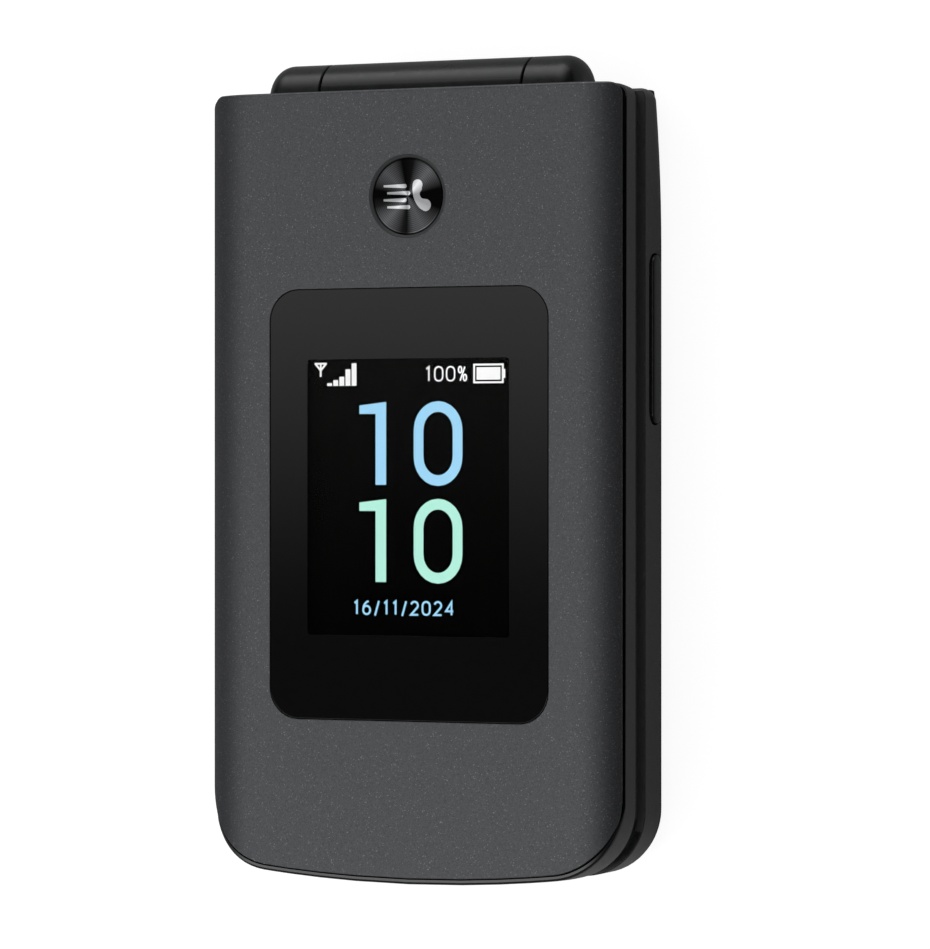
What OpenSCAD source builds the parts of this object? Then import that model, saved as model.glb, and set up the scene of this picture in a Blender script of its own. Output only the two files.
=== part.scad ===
// Flip phone, closed, lying on its back.
// X is the width, Y the length with the hinge at +Y, and Z the thickness.
// The origin is under the middle of the bounding box. Millimetres.

/* [Body] */
// Width of both halves
body_w = 56.8; // [50:0.2:72]
// Length of both halves, without the part of the hinge that stands out
body_l = 100.7; // [92:0.1:125]
// Radius of the two lower corners, seen from the front
corner_r = 8; // [5:0.5:12]
// Radius of the two corners by the hinge, seen from the front
top_r = 2.3; // [1:0.1:4]
// Radius of the slightly bowed lower end
bottom_arc_r = 185; // [120:5:400]
// Thickness of the outer walls
wall = 1.4; // [1:0.1:2]
// Gap between pieces that are fixed together
fit = 0.1; // [0.05:0.01:0.15]
// Gap round pieces that are pressed or turned
run = 0.2; // [0.15:0.01:0.3]

/* [Base] */
// Height of the base's side band, without the back cover
base_band_h = 5.1; // [4.8:0.1:8]
// Height of the curved back cover
back_h = 3.8; // [3:0.1:6]
// Radius of the back cover's rounded edge
back_r = 3.8; // [2:0.1:3.8]
// Radius of the back's rise towards the hinge
rise_r = 98; // [60:1:200]
// Length of the stretch where the back rises
rise_l = 20.3; // [5:0.1:24]
// Thickness of the keypad plate
plate_t = 1.2; // [1:0.1:1.6]
// Depth of the recess along the parting between the halves
recess = 1; // [0.5:0.1:1.4]

/* [Lid] */
// Gap between the two closed halves
part_gap = 0.8; // [0.6:0.1:1.5]
// Thickness of the inner bezel
bezel_t = 1.2; // [1:0.1:2]
// Height of the lid's side band
lid_band_h = 3.2; // [3:0.1:6]
// Height of the groove under the cover
groove_h = 1.3; // [0.8:0.1:2]
// Depth of that groove
groove_d = 0.6; // [0.3:0.1:1]
// Rise of the cover from its edge to its flat face
crown = 2.2; // [1.8:0.1:4]
// Width of the cover's curved edge
crown_w = 6.2; // [4:0.1:10]
// Thickness of the cover where it is flat
cover_t = 1.5; // [1.4:0.1:2]
// How far the cover's lower end stays back from the rim
cover_back = 0.9; // [0:0.1:2]

/* [Outer window] */
// Width of the outer window
window_w = 38.6; // [30:0.1:42]
// Length of the outer window
window_l = 54.7; // [45:0.1:58]
// Radius of its corners
window_r = 4; // [1:0.5:6]
// Distance of its centre from the middle of the body, towards the lower end
window_down = 2.23; // [-4:0.01:4]
// Thickness of the outer window
lens_t = 0.85; // [0.6:0.05:0.9]
// Width of the ledge that carries it
ledge = 1.2; // [0.8:0.1:2]
// Width of the outer display's picture
outer_active_w = 28; // [20:0.1:30]
// Length of the outer display's picture
outer_active_l = 35; // [25:0.1:44]

/* [Call button] */
// Radius of the button
button_r = 4.85; // [3:0.05:6]
// Radius of the ring round it
ring_r = 5.4; // [4:0.05:7]
// Distance of its centre from the body's end by the hinge
button_down = 13.65; // [11:0.01:14.5]
// How far it is pressed
button_travel = 0.3; // [0.2:0.05:0.4]

/* [Main window] */
// Width of the inner window
main_w = 49.6; // [44:0.1:51]
// Length of the inner window
main_l = 66; // [58:0.1:68]
// Distance of its centre from the lid's lower end
main_up = 44; // [40:0.1:48]
// Width of the inner display's picture
main_active_w = 43.2; // [36:0.1:44]
// Length of the inner display's picture
main_active_l = 57.6; // [50:0.1:60]
// Radius of its corners
main_r = 2; // [1:0.1:4]

/* [Hinge] */
// Radius of the hinge barrel
hinge_r = 4.8; // [4.5:0.1:5.4]
// How far the barrel stands out past the body
hinge_out = 4.1; // [3.6:0.1:4.6]
// Width of the whole barrel
hinge_w = 42.8; // [40:0.1:48]
// Width of its middle part, which belongs to the lid
hinge_mid_w = 28.2; // [24:0.1:30]
// Radius of the barrel's rounded ends
hinge_end_r = 2.8; // [1:0.1:3.4]
// How far the lid opens, in degrees
open_angle = 155; // [90:1:160]
// Radius of the steel hinge shaft
shaft_r = 1.2; // [1:0.05:1.4]
// Running gap round the shaft and the sleeve
bearing = 0.05; // [0.02:0.01:0.1]

/* [Keypad] */
// Width of a number key
key_w = 15.4; // [12:0.1:16]
// Length of a number key
key_l = 10.6; // [8:0.1:11.4]
// Distance between key columns
key_pitch_x = 17; // [16.8:0.1:20]
// Distance between key rows
key_pitch_y = 13; // [12.6:0.1:15]
// Distance of the lowest row of keys from the lower end
key_up = 16.4; // [15:0.1:20]
// Height of the keys over the plate
key_proud = 0.2; // [0:0.05:0.3]
// How far a key is pressed
key_travel = 0.3; // [0.2:0.05:0.35]
// Radius of the key corners
key_r = 2; // [0.5:0.1:4]
// Width of the four-way ring
nav_w = 23; // [18:0.5:26]
// Length of the four-way ring
nav_l = 19; // [16:0.5:20]
// Radius of the middle key
ok_r = 4.2; // [3:0.1:5]

/* [Volume rocker] */
// Length of the rocker's recess
rocker_slot_l = 21.8; // [15:0.1:26]
// Width of the rocker's recess
rocker_slot_w = 4.55; // [4:0.05:4.8]
// Depth of the rocker's recess
rocker_slot_d = 0.7; // [0.4:0.05:0.8]
// Width of the rocker
rocker_w = 2.6; // [2:0.1:3]
// How far the rocker stands out of the side
rocker_proud = 0.3; // [0:0.05:0.5]
// Distance of its centre from the body's end by the hinge
rocker_down = 31.7; // [28:0.1:36]

/* [Battery] */
// Width of the battery
battery_w = 36; // [30:0.5:42]
// Length of the battery
battery_l = 46; // [38:0.5:47]
// Thickness of the battery
battery_t = 4.2; // [3:0.1:4.4]
// Distance of its centre from the lower end
battery_up = 40; // [36:0.1:40.5]

/* [Sockets] */
// Radius of the headphone socket's bore
jack_bore_r = 1.8; // [1.75:0.01:1.85]
// Depth of that bore
jack_bore_l = 14; // [10:0.1:15]
// Distance of the headphone socket from the upper row of number keys
jack_up = 11.4; // [10:0.1:11.7]
// Width of the charging socket
usb_w = 7.4; // [6:0.1:9]
// Height of the charging socket
usb_h = 2.6; // [2:0.1:3]
// Depth of the charging socket
usb_l = 5.6; // [4:0.1:7]

/* [Hidden] */
$fn = 64;

// A cut starts and ends this far outside what it cuts
over = 1;

// Places along Y
y_bot = -(body_l + hinge_out) / 2;
y_top = y_bot + body_l;
axis_y = y_top + hinge_out - hinge_r;

// Heights, from the back to the front
cover_split_z = back_h;
band_z0 = back_h + fit;
band_z1 = band_z0 + base_band_h;
base_top_z = band_z1 + plate_t;
axis_z = base_top_z + part_gap / 2;
lid_z0 = base_top_z + part_gap;
lid_band_z0 = lid_z0 + bezel_t;
lid_band_z1 = lid_band_z0 + lid_band_h;
cover_z0 = lid_band_z1 + groove_h;
total_t = cover_z0 + crown;

// The hinge
swing = hinge_r + run + 0.05;
mid_half = hinge_mid_w / 2 - run / 2;
knuckle_x = hinge_mid_w / 2 + run / 2;
hinge_half = hinge_w / 2;
wedge_angle = (360 - open_angle) / 2 - 90;
cartridge_r = 2.85;
cartridge_bore_r = cartridge_r + bearing;
sleeve_r = 2.4;
sleeve_bore_r = 1.8;
shaft_head_r = 2;
flex_roll_r = 1.2;
flex_roll_x0 = 3.5 - hinge_half;
bore_end = 1.6;
block_l = swing + 1.9;
flex_x0 = -4;
flex_x1 = -1;
flex_bore_x1 = flex_x1 + 0.6;
sleeve_x1 = flex_x0 - 1;
web = hinge_r * 0.8;
web_x1 = hinge_half - hinge_end_r;
flex_t = 0.15;
flex_z = lid_band_z0 + 0.2;
flex_end_y = axis_y - block_l - 0.1;
flex_slot_z1 = flex_z + 0.8;

// The lid's stack
screen_gap = 0.05;
main_lens_t = 0.8;
main_lens_z = lid_z0 + 0.15;
main_display_z0 = main_lens_z + main_lens_t + fit;
partition_t = 0.5;
partition_z0 = lid_band_z0 + 1.75;
lid_board_z0 = partition_z0 + partition_t + screen_gap;
lid_board_t = 0.7;
lid_board_z1 = lid_board_z0 + lid_board_t;
lens_z1 = total_t - screen_gap;
lens_z0 = lens_z1 - lens_t;
window_y = (y_bot + y_top) / 2 - window_down;
button_y = y_top - button_down;
main_y = y_bot + main_up;
switch_h = 0.45;
lid_screw_x = body_w / 2 - wall - 3.2;
lid_screw_y0 = y_bot + 7.4;
lid_screw_y1 = axis_y - block_l - 3.2;
bumper_r = 2;
bumper_h = part_gap - 0.3;
earpiece_y = y_bot + 6.6;
earpiece_w = 14;
earpiece_l = 6;
earpiece_r = 1.4;
slit_l = 1.8;
slit_r = 0.8;
board_low = 6;
magnet_w = 3;
magnet_l = 5;
magnet_y = 6.5;
magnet_h = 1.2;
outer_display_y = window_y + 0.91;
button_z0 = total_t - cover_t - 1.1;
button_flange_t = 0.6;
button_stem_r = 1;

// The base's stack
board_t = 0.8;
dome_z0 = base_top_z - plate_t - 1.75;
board_z1 = dome_z0 - screen_gap;
board_z0 = board_z1 - board_t;
dome_t = 0.15;
dome_h = 0.3;
dome_r = 2;
chassis_z1 = board_z0 - fit;
chassis_z0 = band_z0 + fit;
pocket_roof_z = chassis_z1 - 0.6;
flange_t = 0.5;
flange_out = 0.5;
flange_z1 = band_z1 - 0.15;
flange_z0 = flange_z1 - flange_t;
stem_z0 = dome_z0 + dome_t + dome_h + key_travel + 0.1;
stem_r = 1.5;
keypad_y0 = y_bot + key_up;
nav_y = keypad_y0 + 3 * key_pitch_y + 24;
nav_flange_t = 0.3;
nav_r = nav_l / 2.4;
nav_dome_in = 2.4;
clear_y = keypad_y0 + 3 * key_pitch_y + 10.6;
side_key_x = key_pitch_x + 2;
side_key_w = 11.6;
side_key_l = 8;
soft_y = nav_y + 5;
send_y = nav_y - 5.4;
clear_w = 11;
clear_l = 5.2;
boss_r = 2.2;
boss_x = body_w / 2 - wall - 4.2;
boss_y0 = y_bot + 7.6;
boss_y1 = axis_y - block_l - 1.6;
screw_r = 0.8;
screw_head_r = 1.5;
screw_head_t = 0.7;
battery_y = y_bot + battery_up;
battery_z0 = wall + fit;
pocket_rim = 1.2;

// The rocker
rocker_y = y_top - rocker_down;
rocker_slot_z = band_z0 + rocker_slot_w / 2 - 0.3;
rocker_z = band_z0 + rocker_w / 2 + 0.15;
rocker_l = rocker_slot_l - 4 * run;
rocker_tilt = 1.2;
rocker_stem_l = rocker_l - 5;
rocker_stem_w = rocker_w - 1.2;
rocker_gap = 0.3;
rocker_flange_t = 0.4;
volume_switch_y = 6;
volume_switch_l = 4;
volume_switch_t = 1.4;
volume_switch_h = 0.9;
rocker_swell = (rocker_l / 2) * sin(rocker_tilt);

// The sockets
jack_wall = 0.3;
jack_r = jack_bore_r + jack_wall;
jack_z = band_z0 + jack_r + 0.4;
jack_y = keypad_y0 + 3 * key_pitch_y + jack_up;
jack_x0 = 0.15 - body_w / 2;
jack_x1 = jack_x0 + jack_bore_l + 0.6;
jack_half = jack_r + 0.2;
usb_z = band_z0 + usb_h / 2 + 0.4;
usb_shell = 0.3;
antenna_y = y_bot + usb_l + 2.4;
antenna_w = 16;
antenna_l = 1.8;
antenna_t = 0.5;
mic_x = 13;
mic_w = 3.2;
mic_t = 2;
mic_gap = 0.6;
mic_y1 = y_bot + wall + mic_gap + mic_t;
mic_hole_r = 0.5;

// The camera corner, on the back
camera_y = axis_y - block_l - 5.6;
camera_x = 0;
camera_r = 4;
flash_x = 8.4;
flash_r = 1.6;
sim_w = 14;
sim_y = battery_y + battery_l / 2 - sim_w / 2 - 2;
motor_x = 16;
motor_y = camera_y - 3;
motor_r = 3.4;
motor_gap = 0.5;
speaker_x = -13.5;
speaker_w = 13;
speaker_l = 9;
sound_w = 0.9;
sound_l = 5;
sound_pitch = 2;
sound_r = sound_w / 2 - 0.01;

// Points of an arc, from angle a to angle b, in n steps, without the first skip points
function arc(x, y, r, a, b, n, skip = 0) =
    [for (i = [skip : n - skip]) let (t = a + (b - a) * i / n) [x + r * cos(t), y + r * sin(t)]];

// The plan outline, with its sides, lower end and upper end moved in
function outline(side = 0, low = 0, high = 0) =
    let (half = body_w / 2 - side,
        rc = corner_r - (side + low) / 2,
        rt = max(top_r - (side + high) / 2, 0.4),
        big_y = y_bot + low + bottom_arc_r,
        cx = half - rc,
        cy = big_y - sqrt(pow(bottom_arc_r - rc, 2) - cx * cx),
        phi = atan2(cy - big_y, cx),
        top = y_top - high)
    concat(
        arc(0, big_y, bottom_arc_r, -180 - phi, phi, 14, 1),
        arc(cx, cy, rc, phi, 0, 12),
        arc(half - rt, top - rt, rt, 0, 90, 5),
        arc(rt - half, top - rt, rt, 90, 180, 5),
        arc(-cx, cy, rc, 180, 180 - phi, 12));

// A rectangle with round corners
function round_box(w, l, r) =
    concat(
        arc(w / 2 - r, r - l / 2, r, -90, 0, 6),
        arc(w / 2 - r, l / 2 - r, r, 0, 90, 6),
        arc(r - w / 2, l / 2 - r, r, 90, 180, 6),
        arc(r - w / 2, r - l / 2, r, 180, 270, 6));

// Height of the back over the table, at y near the hinge
function rise(y) =
    let (past = max(y - (y_top - rise_l), 0))
    rise_r - sqrt(rise_r * rise_r - past * past);

module prism(points, z0, z1) {
    translate([0, 0, z0])
        linear_extrude(height = z1 - z0)
            polygon(points);
}

module slab(z0, z1, side = 0, low = 0, high = 0) {
    prism(outline(side, low, high), z0, z1);
}

module pill(x, y, w, l, r, z0, z1) {
    translate([x, y, 0])
        prism(round_box(w, l, r), z0, z1);
}

module disc(x, y, r, z0, z1) {
    translate([x, y, z0])
        cylinder(r = r, h = z1 - z0);
}

module block(x0, x1, y0, y1, z0, z1) {
    translate([x0, y0, z0])
        cube([x1 - x0, y1 - y0, z1 - z0]);
}

// A cylinder along the hinge axis
module axle(r, x0, x1) {
    translate([x0, axis_y, axis_z])
        rotate([0, 90, 0])
            cylinder(r = r, h = x1 - x0);
}

// A section in Y and Z, drawn out across the width
module across(points, half) {
    translate([-half, 0, 0])
        rotate([90, 0, 90])
            linear_extrude(height = 2 * half)
                polygon(points);
}

// A section in X and Z, drawn out along the length
module along(points) {
    translate([0, y_top + over, 0])
        rotate([90, 0, 0])
            linear_extrude(height = body_l + 2 * over)
                polygon(points);
}

// Stadium-shaped bar that lies along Y on the right side, from x0 to x1
module side_pill(z, l, w, x0, x1) {
    translate([x0, rocker_y, z])
        rotate([90, 0, 90])
            linear_extrude(height = x1 - x0)
                polygon(round_box(l, w, w / 2 - 0.01));
}

// Space that is swept by the other half near the axis, past a plane that leans by wedge_angle
module wedge(side) {
    reach = 2 * total_t;
    lean = reach * tan(wedge_angle);
    across([[axis_y - run, axis_z - side * over],
        [axis_y - run + over * 3 + reach, axis_z - side * over],
        [axis_y - run + over * 3 + reach, axis_z + side * reach],
        [axis_y - run + lean, axis_z + side * reach],
        [axis_y - run, axis_z]], body_w);
}

// The curved face of the cover, lowered by a wall
module crown_section(down) {
    half = body_w / 2;
    r = (crown_w * crown_w + crown * crown) / (2 * crown);
    flat = half - crown_w;
    turn = asin(crown_w / r);
    along(concat(
        [[-half - over, lid_z0], [half + over, lid_z0], [half + over, cover_z0 - down]],
        arc(flat, total_t - r - down, r, 90 - turn, 90, 10),
        arc(-flat, total_t - r - down, r, 90, 90 + turn, 10),
        [[-half - over, cover_z0 - down]]));
}

// The curved back, raised by a wall
module back_section(up) {
    half = body_w / 2 - up;
    r = back_r - up / 2;
    along(concat(
        arc(half - r, up + r, r, -90, 0, 8),
        [[half, lid_z0], [-half, lid_z0]],
        arc(r - half, up + r, r, 180, 270, 8)));
}

// The back seen from the side: round at the lower end and rising at the hinge
module back_profile(up) {
    low = y_bot + up;
    r = back_r - up / 2;
    turn = asin(rise_l / rise_r);
    across(concat(
        arc(low + r, up + r, r, 180, 270, 8),
        arc(y_top - rise_l, up + rise_r, rise_r, -90, -90 + turn, 10),
        [[y_top + over, up + rise_r * (1 - cos(turn))], [y_top + over, lid_z0], [low, lid_z0]]),
        body_w);
}

module back_shape(up) {
    intersection() {
        slab(0, cover_split_z, up, up, up);
        back_section(up);
        back_profile(up);
    }
}

function key_x(i) = (i % 3 - 1) * key_pitch_x;
function key_y(i) = keypad_y0 + (3 - floor(i / 3)) * key_pitch_y;

// Every key's opening in the plate, grown by a gap
module key_openings(gap, z0, z1) {
    for (i = [0 : 11])
        pill(key_x(i), key_y(i), key_w + 2 * gap, key_l + 2 * gap, key_r + gap, z0, z1);
    for (s = [-1, 1], y = [soft_y, send_y])
        pill(s * side_key_x, y, side_key_w + 2 * gap, side_key_l + 2 * gap, key_r + gap, z0, z1);
    pill(0, clear_y, clear_w + 2 * gap, clear_l + 2 * gap, key_r + gap, z0, z1);
    pill(0, nav_y, nav_w + 2 * gap, nav_l + 2 * gap, nav_r + gap, z0, z1);
}

// A key with its flange under the plate and its stem over a dome
module key(x, y, w, l, r) {
    union() {
        pill(x, y, w, l, r, flange_z0, base_top_z + key_proud);
        pill(x, y, w + 2 * flange_out, l + 2 * flange_out, r, flange_z0, flange_z1);
        disc(x, y, stem_r, stem_z0, flange_z0 + over / 4);
    }
}

module number_key(i) {
    color("dimgray")
    key(key_x(i), key_y(i), key_w, key_l, key_r);
}

// A screw whose head looks down
module screw(x, y, z0, l) {
    union() {
        disc(x, y, screw_head_r, z0 - screw_head_t, z0);
        disc(x, y, screw_r, z0 - screw_head_t / 2, z0 + l);
    }
}

module lid_cover() {
    lip = wall / 2;
    color([0.31, 0.31, 0.32])
    difference() {
        intersection() {
            slab(cover_z0, total_t, 0, cover_back, 0);
            crown_section(0);
        }
        intersection() {
            slab(cover_z0 - over, total_t - cover_t, groove_d + lip, cover_back + lip, groove_d + lip);
            crown_section(cover_t);
        }
        pill(0, window_y, window_w + fit, window_l + fit, window_r, lens_z0 - fit, total_t + over);
        pill(0, window_y, window_w - 2 * ledge, window_l - 2 * ledge, window_r - ledge / 2,
            cover_z0 - over, total_t);
        disc(0, button_y, ring_r + bearing, cover_z0 - over, total_t + over);
    }
}

module lid_frame() {
    inner = groove_d + wall;
    color([0.15, 0.15, 0.16])
    difference() {
        union() {
            difference() {
                union() {
                    slab(lid_band_z0, lid_band_z1);
                    slab(lid_band_z1 - over / 2, cover_z0, groove_d, groove_d, groove_d);
                }
                slab(lid_band_z0 - over, partition_z0, inner, inner, block_l + y_top - axis_y);
                slab(partition_z0 + partition_t, cover_z0 + over, inner, inner,
                    block_l + y_top - axis_y);
                axle(swing, -hinge_half - run, hinge_half + run);
                wedge(1);
            }
            axle(hinge_r, -mid_half, mid_half);
            block(-mid_half, mid_half, axis_y - hinge_r, axis_y, axis_z + web, lid_band_z1);
            for (s = [-1, 1], y = [lid_screw_y0, lid_screw_y1])
                disc(s * lid_screw_x, y, boss_r, lid_band_z0, partition_z0 + over / 4);
        }
        axle(cartridge_bore_r, bore_end, mid_half + over);
        axle(sleeve_r + bearing, -mid_half - over, flex_bore_x1);
        block(flex_x0 - 0.4, flex_x1 + 0.4, axis_y - block_l - over, axis_y + flex_roll_r, axis_z + 0.4,
            flex_slot_z1);
        block(flex_x0 - 0.4, flex_x1 + 0.4, flex_end_y - 0.3, flex_end_y + flex_t + fit, lid_band_z0 - over,
            lid_board_z1);
        for (s = [-1, 1], y = [lid_screw_y0, lid_screw_y1])
            disc(s * lid_screw_x, y, screw_r + bearing, lid_band_z0 - over, lid_band_z1 - over / 2);
    }
}

module lid_bezel() {
    color([0.11, 0.11, 0.12])
    difference() {
        slab(lid_z0, lid_band_z0 - screen_gap, recess, recess, 0);
        pill(0, main_y, main_w + fit, main_l + fit, main_r, lid_z0 - over, main_lens_z + main_lens_t + fit / 2);
        pill(0, main_y, main_w - 2 * ledge, main_l - 2 * ledge, main_r, lid_z0, lid_band_z0 + over);
        pill(0, earpiece_y, earpiece_w + fit, slit_l + fit, slit_r, lid_z0 - over, lid_band_z0 + over);
        axle(swing, -hinge_half - run, hinge_half + run);
        wedge(1);
        for (s = [-1, 1], y = [lid_screw_y0, lid_screw_y1])
            disc(s * lid_screw_x, y, bumper_r + bearing, lid_z0 - over, lid_band_z0 + over);
    }
}

module outer_lens() {
    color([0.1, 0.11, 0.12, 0.6])
    pill(0, window_y, window_w, window_l, window_r, lens_z0, lens_z1);
}

module outer_display() {
    frame = 1.4;
    color([0.02, 0.02, 0.02])
    pill(0, outer_display_y, outer_active_w + 2 * frame, outer_active_l + 3 * frame, 0.6,
        lid_board_z1 + screen_gap, lens_z0 - fit - screen_gap);
}

module main_lens() {
    color([0.08, 0.09, 0.1, 0.6])
    pill(0, main_y, main_w, main_l, main_r, main_lens_z, main_lens_z + main_lens_t);
}

module main_display() {
    frame = 1.5;
    color([0.03, 0.03, 0.04])
    pill(0, main_y, main_active_w + 2 * frame - 0.4, main_active_l + 3 * frame, 0.6,
        main_display_z0, partition_z0 - screen_gap);
}

module call_button() {
    color([0.08, 0.08, 0.08])
    union() {
        disc(0, button_y, button_r, button_z0, total_t - 0.2);
        disc(0, button_y, ring_r - 0.1, button_z0, button_z0 + button_flange_t);
        disc(0, button_y, button_stem_r, lid_board_z1 + switch_h + button_travel + 0.1, button_z0 + 0.1);
    }
}

module call_ring() {
    color([0.22, 0.22, 0.23])
    difference() {
        disc(0, button_y, ring_r, total_t - cover_t, total_t);
        disc(0, button_y, button_r + 0.1, total_t - cover_t - over, total_t + over);
    }
}

module call_switch() {
    color("silver")
    union() {
        pill(0, button_y, 4, 4, 0.4, lid_board_z1, lid_board_z1 + switch_h - 0.15);
        disc(0, button_y, 1.2, lid_board_z1 + switch_h - 0.3, lid_board_z1 + switch_h);
    }
}

module lid_board() {
    inset = groove_d + wall + run;
    color([0.05, 0.25, 0.15])
    slab(lid_board_z0, lid_board_z1, inset, inset + board_low, block_l + y_top - axis_y + run);
}

module earpiece() {
    color([0.3, 0.3, 0.32])
    pill(0, earpiece_y + 1, earpiece_w, earpiece_l, earpiece_r, lid_band_z0, partition_z0 - screen_gap);
}

module earpiece_mesh() {
    color([0.35, 0.35, 0.36])
    pill(0, earpiece_y, earpiece_w, slit_l, slit_r, lid_z0 + 0.25, lid_band_z0 - screen_gap);
}

module lid_bumpers() {
    color([0.1, 0.1, 0.1])
    for (s = [-1, 1], y = [lid_screw_y0, lid_screw_y1])
        disc(s * lid_screw_x, y, bumper_r, lid_z0 - bumper_h, lid_band_z0 - screw_head_t - fit);
}

module lid_magnet() {
    color("silver")
    block(-lid_screw_x - magnet_w / 2, -lid_screw_x + magnet_w / 2, magnet_y - magnet_l / 2,
        magnet_y + magnet_l / 2, lid_board_z1 + screen_gap, lid_board_z1 + magnet_h);
}

module lid_screws() {
    color([0.6, 0.6, 0.62])
    for (s = [-1, 1], y = [lid_screw_y0, lid_screw_y1])
        screw(s * lid_screw_x, y, lid_band_z0, lid_band_h - over);
}

module hinge_cartridge() {
    color([0.6, 0.6, 0.62])
    difference() {
        axle(cartridge_r, bore_end + fit, mid_half);
        axle(shaft_r + bearing, bore_end + over, mid_half + over);
    }
}

module lid_flex() {
    color([0.75, 0.45, 0.15])
    union() {
        axle(flex_roll_r, flex_roll_x0, flex_x1);
        block(flex_x0, flex_x1, flex_end_y, axis_y, flex_z, flex_z + flex_t);
        block(flex_x0, flex_x1, axis_y - flex_t, axis_y, axis_z, flex_z + flex_t);
        block(flex_x0, flex_x1, flex_end_y, flex_end_y + flex_t, flex_z, lid_board_z0 + lid_board_t / 2);
    }
}

module keypad_housing() {
    color([0.14, 0.14, 0.15])
    difference() {
        union() {
            difference() {
                union() {
                    slab(band_z0, band_z1);
                    slab(band_z1 - over / 2, base_top_z, recess, recess, 0);
                }
                slab(band_z0 - over, band_z1, wall, wall, block_l + y_top - axis_y);
                axle(swing, -hinge_half - run, hinge_half + run);
                wedge(-1);
            }
            for (s = [-1, 1])
                knuckle(s);
            for (s = [-1, 1], y = [boss_y0, boss_y1])
                disc(s * boss_x, y, boss_r, chassis_z1 + fit, band_z1 + over / 4);
        }
        axle(shaft_head_r + bearing, knuckle_x - over, hinge_half - bore_end);
        axle(sleeve_r + bearing, bore_end - hinge_half, over - knuckle_x);
        key_openings(run, band_z1 - over, base_top_z + over);
        side_pill(rocker_slot_z, rocker_slot_l, rocker_slot_w, body_w / 2 - rocker_slot_d, body_w / 2 + over);
        side_pill(rocker_z, rocker_stem_l + 2 * run, rocker_stem_w + 2 * run, body_w / 2 - wall - over,
            body_w / 2);
        jack_tube(jack_r + fit, -body_w / 2 - over, over + wall + 2);
        block(-usb_w / 2 - fit, usb_w / 2 + fit, y_bot - over, y_bot + wall + over,
            usb_z - usb_h / 2 - fit, usb_z + usb_h / 2 + fit);
        translate([mic_x, y_bot - over, usb_z])
            rotate([-90, 0, 0])
                cylinder(r = mic_hole_r, h = over + wall + 2);
        for (s = [-1, 1], y = [boss_y0, boss_y1])
            disc(s * boss_x, y, screw_r + bearing, band_z0, band_z1 - over / 4);
    }
}

// One outer part of the barrel, with a rounded end, and the web that joins it to the base
module knuckle(s) {
    l = hinge_half - knuckle_x;
    union() {
        translate([s * knuckle_x, axis_y, axis_z])
            rotate([0, s * 90, 0])
                rotate_extrude()
                    polygon(concat([[0, 0], [hinge_r, 0]],
                        arc(hinge_r - hinge_end_r, l - hinge_end_r, hinge_end_r, 0, 90, 8), [[0, l]]));
        block(min(s * knuckle_x, s * web_x1), max(s * knuckle_x, s * web_x1), axis_y - hinge_r, axis_y,
            band_z0, axis_z - web);
    }
}

module rear_housing() {
    inset = wall + fit;
    rim = pocket_rim;
    color([0.2, 0.2, 0.21])
    difference() {
        union() {
            slab(chassis_z0, chassis_z1, inset, inset, block_l + y_top - axis_y + fit);
            pill(0, battery_y, battery_w + 2 * rim + 2 * fit, battery_l + 2 * rim + 2 * fit, 2,
                battery_z0 + over, chassis_z0 + over / 4);
        }
        pill(0, battery_y, battery_w + 2 * fit, battery_l + 2 * fit, 1, 0, battery_z0 + battery_t + fit);
        block(body_w / 2 - wall - 3.2, body_w / 2, rocker_y - rocker_slot_l / 2, rocker_y + rocker_slot_l / 2,
            0, band_z1);
        jack_room();
        usb_room();
        block(mic_x - mic_w / 2 - mic_gap, mic_x + mic_w / 2 + mic_gap, y_bot, mic_y1 + mic_gap, 0, band_z1);
        disc(camera_x, camera_y, camera_r + fit, 0, band_z1);
        disc(flash_x, camera_y, flash_r + fit, 0, band_z1);
        sim_block(fit, 0, band_z1);
        pill(speaker_x, camera_y, speaker_w + 2 * fit, speaker_l + 2 * fit, 2, 0, pocket_roof_z);
        disc(motor_x, motor_y, motor_r + fit, 0, pocket_roof_z);
        for (s = [-1, 1], y = [boss_y0, boss_y1])
            disc(s * boss_x, y, screw_r + fit, 0, band_z1);
    }
}

module battery_cover() {
    color([0.12, 0.12, 0.13])
    difference() {
        back_shape(0);
        back_shape(wall);
        disc(camera_x, camera_y, camera_r + bearing, -over, cover_split_z);
        disc(flash_x, camera_y, flash_r + bearing, -over, cover_split_z);
        for (i = [-2 : 2])
            pill(speaker_x + i * sound_pitch, camera_y, sound_w, sound_l, sound_r, -over, cover_split_z);
    }
}

module battery() {
    color([0.16, 0.17, 0.2])
    pill(0, battery_y, battery_w, battery_l, 1, battery_z0, battery_z0 + battery_t);
}

module main_board() {
    inset = wall + run + 0.3;
    color([0.05, 0.25, 0.15])
    difference() {
        slab(board_z0, board_z1, inset, inset, block_l + y_top - axis_y + run);
        jack_room();
        usb_room();
        block(body_w / 2 - wall - 1.2, body_w / 2, rocker_y - rocker_slot_l / 2, rocker_y + rocker_slot_l / 2,
            0, band_z1);
        for (s = [-1, 1], y = [boss_y0, boss_y1])
            disc(s * boss_x, y, boss_r + fit, 0, band_z1);
    }
}

module dome_sheet() {
    inset = wall + 2;
    color([0.7, 0.7, 0.68])
    difference() {
        union() {
            slab(dome_z0, dome_z0 + dome_t, inset, inset + 8, block_l + y_top - axis_y + over);
            for (i = [0 : 11])
                dome(key_x(i), key_y(i));
            for (s = [-1, 1], y = [soft_y, send_y])
                dome(s * side_key_x, y);
            for (s = [-1, 1]) {
                dome(0, nav_y + s * (nav_l / 2 - nav_dome_in));
                dome(s * (nav_w / 2 - nav_dome_in), nav_y);
            }
            dome(0, nav_y);
            dome(0, clear_y);
        }
        jack_room();
        for (s = [-1, 1], y = [boss_y0, boss_y1])
            disc(s * boss_x, y, boss_r + fit, 0, band_z1);
    }
}

module dome(x, y) {
    disc(x, y, dome_r, dome_z0, dome_z0 + dome_t + dome_h);
}

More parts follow.
